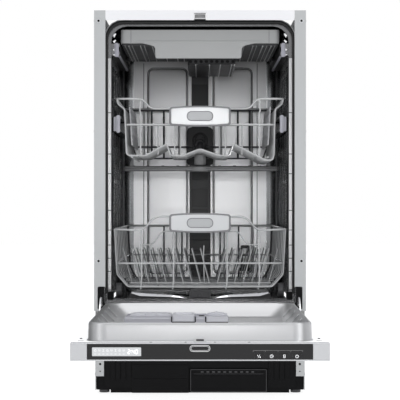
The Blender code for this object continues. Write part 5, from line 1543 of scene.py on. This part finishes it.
def fascia():
    """The control panel: silver ends, catch, display and prints."""
    paint("control_fascia", FASCIA, 0.7)
    paint("control_glass", GLASS_BLACK)
    ends = Shape()
    ends.box((-224, -679.9, 136.8), (224, -666, 138.4))
    for side in (-1, 1):
        ends.prism(
            rounded(side * 209.4 - 13.6, side * 209.4 + 13.6, 139.4, 165.6, 1.5, steps=3), -680.5, -679.4
        )
    ends.done("fascia_ends", FASCIA, "door", 0.5)
    catch = Shape()
    catch.prism(rounded(-11, 11, 167.9, 170.6, 1.2), -677.5, -665)
    catch.ring_prism(rounded(-9.8, 9.8, 169, 175.8, 3), rounded(-6.8, 6.8, 170.4, 174, 1.6), -677.2, -671.4)
    catch.done("door_catch", BRACKET, "door", 0.5)
    # A dark plate inside the catch's ring: painted shade in the recess.
    pocket = Shape()
    pocket.prism(rounded(-7, 7, 170.2, 174.2, 1.6), -676.6, -672.2)
    pocket.done("catch_pocket_shade", DARK, "door", 0.2)
    screen = Shape()
    screen.prism(rounded(-186, -101.5, 145, 160, 1.2, steps=4), FACE - 0.1, FACE + 0.4)
    screen.done("display_window", DISPLAY, "door")
    digits = Shape()
    for x, lit in ((-122.6, "2"), (-115.2, "4"), (-109.4, "0")):
        digit(digits, x, 152.5, lit)
    for z in (151, 154.2):
        bar(digits, -118.9, z, 0.9, 0.9, 0.5)
    digits.done("display_digits", DIGITS, "door")
    icons = Shape()
    for i, x in enumerate((-180.5, -173.5, -166.5, -159.5, -152.5, -145.5, -138.5, -131.5)):
        if i % 3 == 0:
            ring_mark(icons, x, 154.6, 1.9, 0.6)
            bar(icons, x, 154.6, 0.6, 2.0)
        elif i % 3 == 1:
            for k in (-1, 0, 1):
                bar(icons, x + k * 1.5, 154.6 + abs(k) * 0.5, 0.6, 3.2)
        else:
            bar(icons, x, 156.2, 3.6, 0.6)
            bar(icons, x, 153.2, 3.6, 0.6)
            bar(icons, x, 154.7, 0.6, 3.0)
        bar(icons, x, 148.6, 3.4, 0.9)
    icons.done("display_icons", PRINT, "door")
    marks = Shape()
    bar(marks, 134.2, 154.7, 85.5, 0.5)
    for x in (91.6, 112.5, 134.5, 156.4, 176.9):
        bar(marks, x, 153.5, 0.5, 2.6)
    marks.done("panel_lines", PRINT_DIM, "door")
    badge = Shape()
    centre_z = 158.2
    badge.ring_prism(oval(17.6, 5.6, centre_z), oval(16.9, 4.9, centre_z), FACE - 0.3, FACE + 0.4)
    badge.ring_prism(oval(15.4, 3.6, centre_z), oval(15.0, 3.2, centre_z), FACE - 0.3, FACE + 0.4)
    badge.done("panel_badge", PRINT, "door")
    keys()


def keys():
    """Generic symbols on the four keys: half load, delay, programme and power."""
    z = 144.8
    places = {"key_half_load": 101.5, "key_delay": 123.6, "key_program": 145.4, "key_power": 167.3}
    for node, x in places.items():
        paint(node, GLASS_BLACK)
        mark = Shape()
        if node == "key_half_load":
            mark.tube([(x - 1.6, FACE, z - 2.6), (x + 1.6, FACE, z + 2.6)], 0.3, 6)
            bar(mark, x - 2.2, z + 1.4, 0.6, 2.4)
            bar(mark, x + 2.2, z - 1.0, 2.0, 0.6)
            bar(mark, x + 2.2, z - 2.4, 2.0, 0.6)
        elif node == "key_delay":
            ring_mark(mark, x, z, 2.7, 0.55)
            bar(mark, x, z + 0.9, 0.5, 1.9)
            bar(mark, x + 0.7, z, 1.4, 0.5)
        elif node == "key_program":
            mark.ring_prism(
                rounded(x - 1.7, x + 1.7, z - 2.7, z + 2.7, 0.6, steps=2),
                rounded(x - 1.2, x + 1.2, z - 2.2, z + 2.2, 0.4, steps=2), FACE - 0.2, FACE + 0.4
            )
            bar(mark, x, z, 1.6, 0.5)
        else:
            ring_mark(mark, x, z - 0.3, 2.5, 0.6, 120, 420)
            bar(mark, x, z + 1.6, 0.55, 2.6)
        mark.done(node + "_symbol", DIGITS, node)


# ---------------------------------------------------------------- base


def base():
    """The base tray with its tabs, screws, mouldings, hatch outline and feet."""
    paint("base_tray", BLACK, 0.6)
    paint("service_hatch", BLACK, 0.8)
    tabs = Shape()
    for side in (-1, 1):
        left, right = sorted((side * 206.5, side * 221))
        tabs.prism(rounded(left, right, 37, 73, 1.5, steps=3), 46.2, 47.8)
        tabs.prism([(left + 2, 73), (left + 5, 84), (right - 2, 84), (right, 73)], 46.4, 47.6)
        tabs.box((right - 1.4 if side > 0 else left, 46.2, 37), (right if side > 0 else left + 1.4, 62, 128))
    tabs.done("plinth_tabs", ZINC, "cabinet", 0.3)
    screws = Shape()
    for side in (-1, 1):
        centre = side * 213.6
        for z in (47.5, 63.5):
            screws.lathe([(1, -0.8), (4.4, -0.8), (5.4, 0), (5.4, 0.6), (1, 0.6)], (centre, 45.8, z), "Y", 20)
            screw_head(screws, centre, 45.2, z, 1.5)
        screws.box((centre - 1.1, 45.6, 46), (centre + 1.1, 46.6, 60))
        screws.box((centre - 7.3, 45.8, 52), (centre - 5.8, 46.6, 66))
        screws.box((centre + 5.8, 45.8, 40), (centre + 7.3, 46.6, 50))
    screws.done("plinth_screws", BLACK, "cabinet")
    front = Shape()
    front.box((-146, 47.4, 1), (-24, 49.4, 122))
    front.box((-24, 47.8, 54), (146, 49.4, 122))
    for z in (30, 60, 90):
        front.box((-142, 46.6, z), (-28, 48, z + 1.6))
    for side in (-1, 1):
        for i in range(4):
            x = side * (152.5 + 11.5 * i)
            front.prism(arc((x, 98), 5.2, 0, 180, 8) + [(x - 5.2, 30), (x + 5.2, 30)], 46.8, 49.2)
    front.done("base_front_mouldings", BLACK, "cabinet", 0.7)
    edge = Shape()
    edge.ring_prism(rounded(-20.6, 142.6, 3, 51.6, 2.5), rounded(-19.4, 141.4, 4.2, 50.4, 1.8), 46.2, 47.2)
    edge.box((-14, 46.2, 41.4), (136, 47.2, 42.2))
    for i in range(10):
        edge.box((2 + 12 * i, 46.2, 44.5), (8 + 12 * i, 47.2, 47.5))
    edge.done("hatch_outline", MID_DARK, "cabinet", 0.2)
    for name, side in SIDES:
        foot = Shape()
        centre = (side * 206, 75, 0)
        foot.lathe([(0.5, 0), (10.6, 0), (11, 1), (11, 6), (8, 9), (0.5, 9)], centre, "Z", 32)
        foot.lathe([(0.5, 9), (6, 9), (6, 39), (0.5, 39)], centre, "Z", 24)
        for i in range(11):
            foot.lathe([(5.6, 11 + 2.5 * i), (6.9, 12 + 2.5 * i), (5.6, 13 + 2.5 * i)], centre, "Z", 24)
        foot.done(
            "foot_" + name, MID_DARK, "cabinet", 0.2, replaces=("foot_front_" + name,)
        )


def works():
    """Pumps, valve and the parts seen from below and behind."""
    paint("circulation_pump", MID_DARK, 0.8)
    paint("drain_pump", DARK, 0.8)
    paint("inlet_valve", WHITE_PLASTIC, 0.6)
    motor = Shape()
    motor.lathe([(0.5, -31), (30, -31), (33, -27), (33, 27), (30, 31), (0.5, 31)], (60, 330, 80), "X", 40)
    for i in range(9):
        motor.lathe(
            [(32, -24 + 6 * i), (34.2, -23.4 + 6 * i), (34.2, -21.6 + 6 * i), (32, -21 + 6 * i)],
            (60, 330, 80), "X", 40
        )
    motor.done("pump_motor", SCREW_STEEL, "cabinet")


def outer_shell():
    """Pressed beads on the side panels, and the sound mats on the tub's back and top."""
    for name, side in SIDES:
        beads = Shape()
        for y in (90, 200, 316, 430):
            outline = [(y - 9, 0), (y - 6, 0.9), (y + 6, 0.9), (y + 9, 0)]
            beads.prism([(side * (223.8 + proud), along) for along, proud in outline], 150, 770, "Z")
        beads.done("side_beads_" + name, STRIP_GREY, "cabinet", 0.5)
        bolts = Shape()
        head = [(0.5, 0), (3.8, 0), (3.4, side * 1.4), (2.0, side * 2.0), (0.5, side * 2.0)]
        for y, z in (
            (62, 40), (26, 300), (26, 560), (26, 795), (490, 40), (490, 300), (490, 560), (490, 795)
        ):
            bolts.lathe(head, (side * 224, y, z), "X", 20)
        bolts.done("side_bolts_" + name, SCREW_STEEL, "cabinet")
    mats = Shape()
    mats.prism(rounded(-184, 184, 216, 740, 16), 502.9, 507.4)
    mats.prism(rounded(-176, 176, 66, 452, 16), 796.0, 799.6, "Z")
    mats.done("sound_mats", FELT, "cabinet", 1.2)
    straps = Shape()
    for z in (340, 600):
        straps.box((-199.6, 507.3, z - 7), (199.6, 508.5, z + 7))
    for x in (-120, 120):
        straps.box((x - 7, 507.9, 200), (x + 7, 509.3, 770))
    straps.done("rear_straps", ZINC, "cabinet", 0.3)
    pins = Shape()
    for z in (340, 600):
        for x in (-120, 120):
            screw_head(pins, x, 509.2, z, 3.4, "Y", 1)
    pins.done("rear_strap_screws", SCREW_STEEL, "cabinet")


door_liner()
door_shell()
dispenser()
hinges()
fascia()
base()
works()
outer_shell()
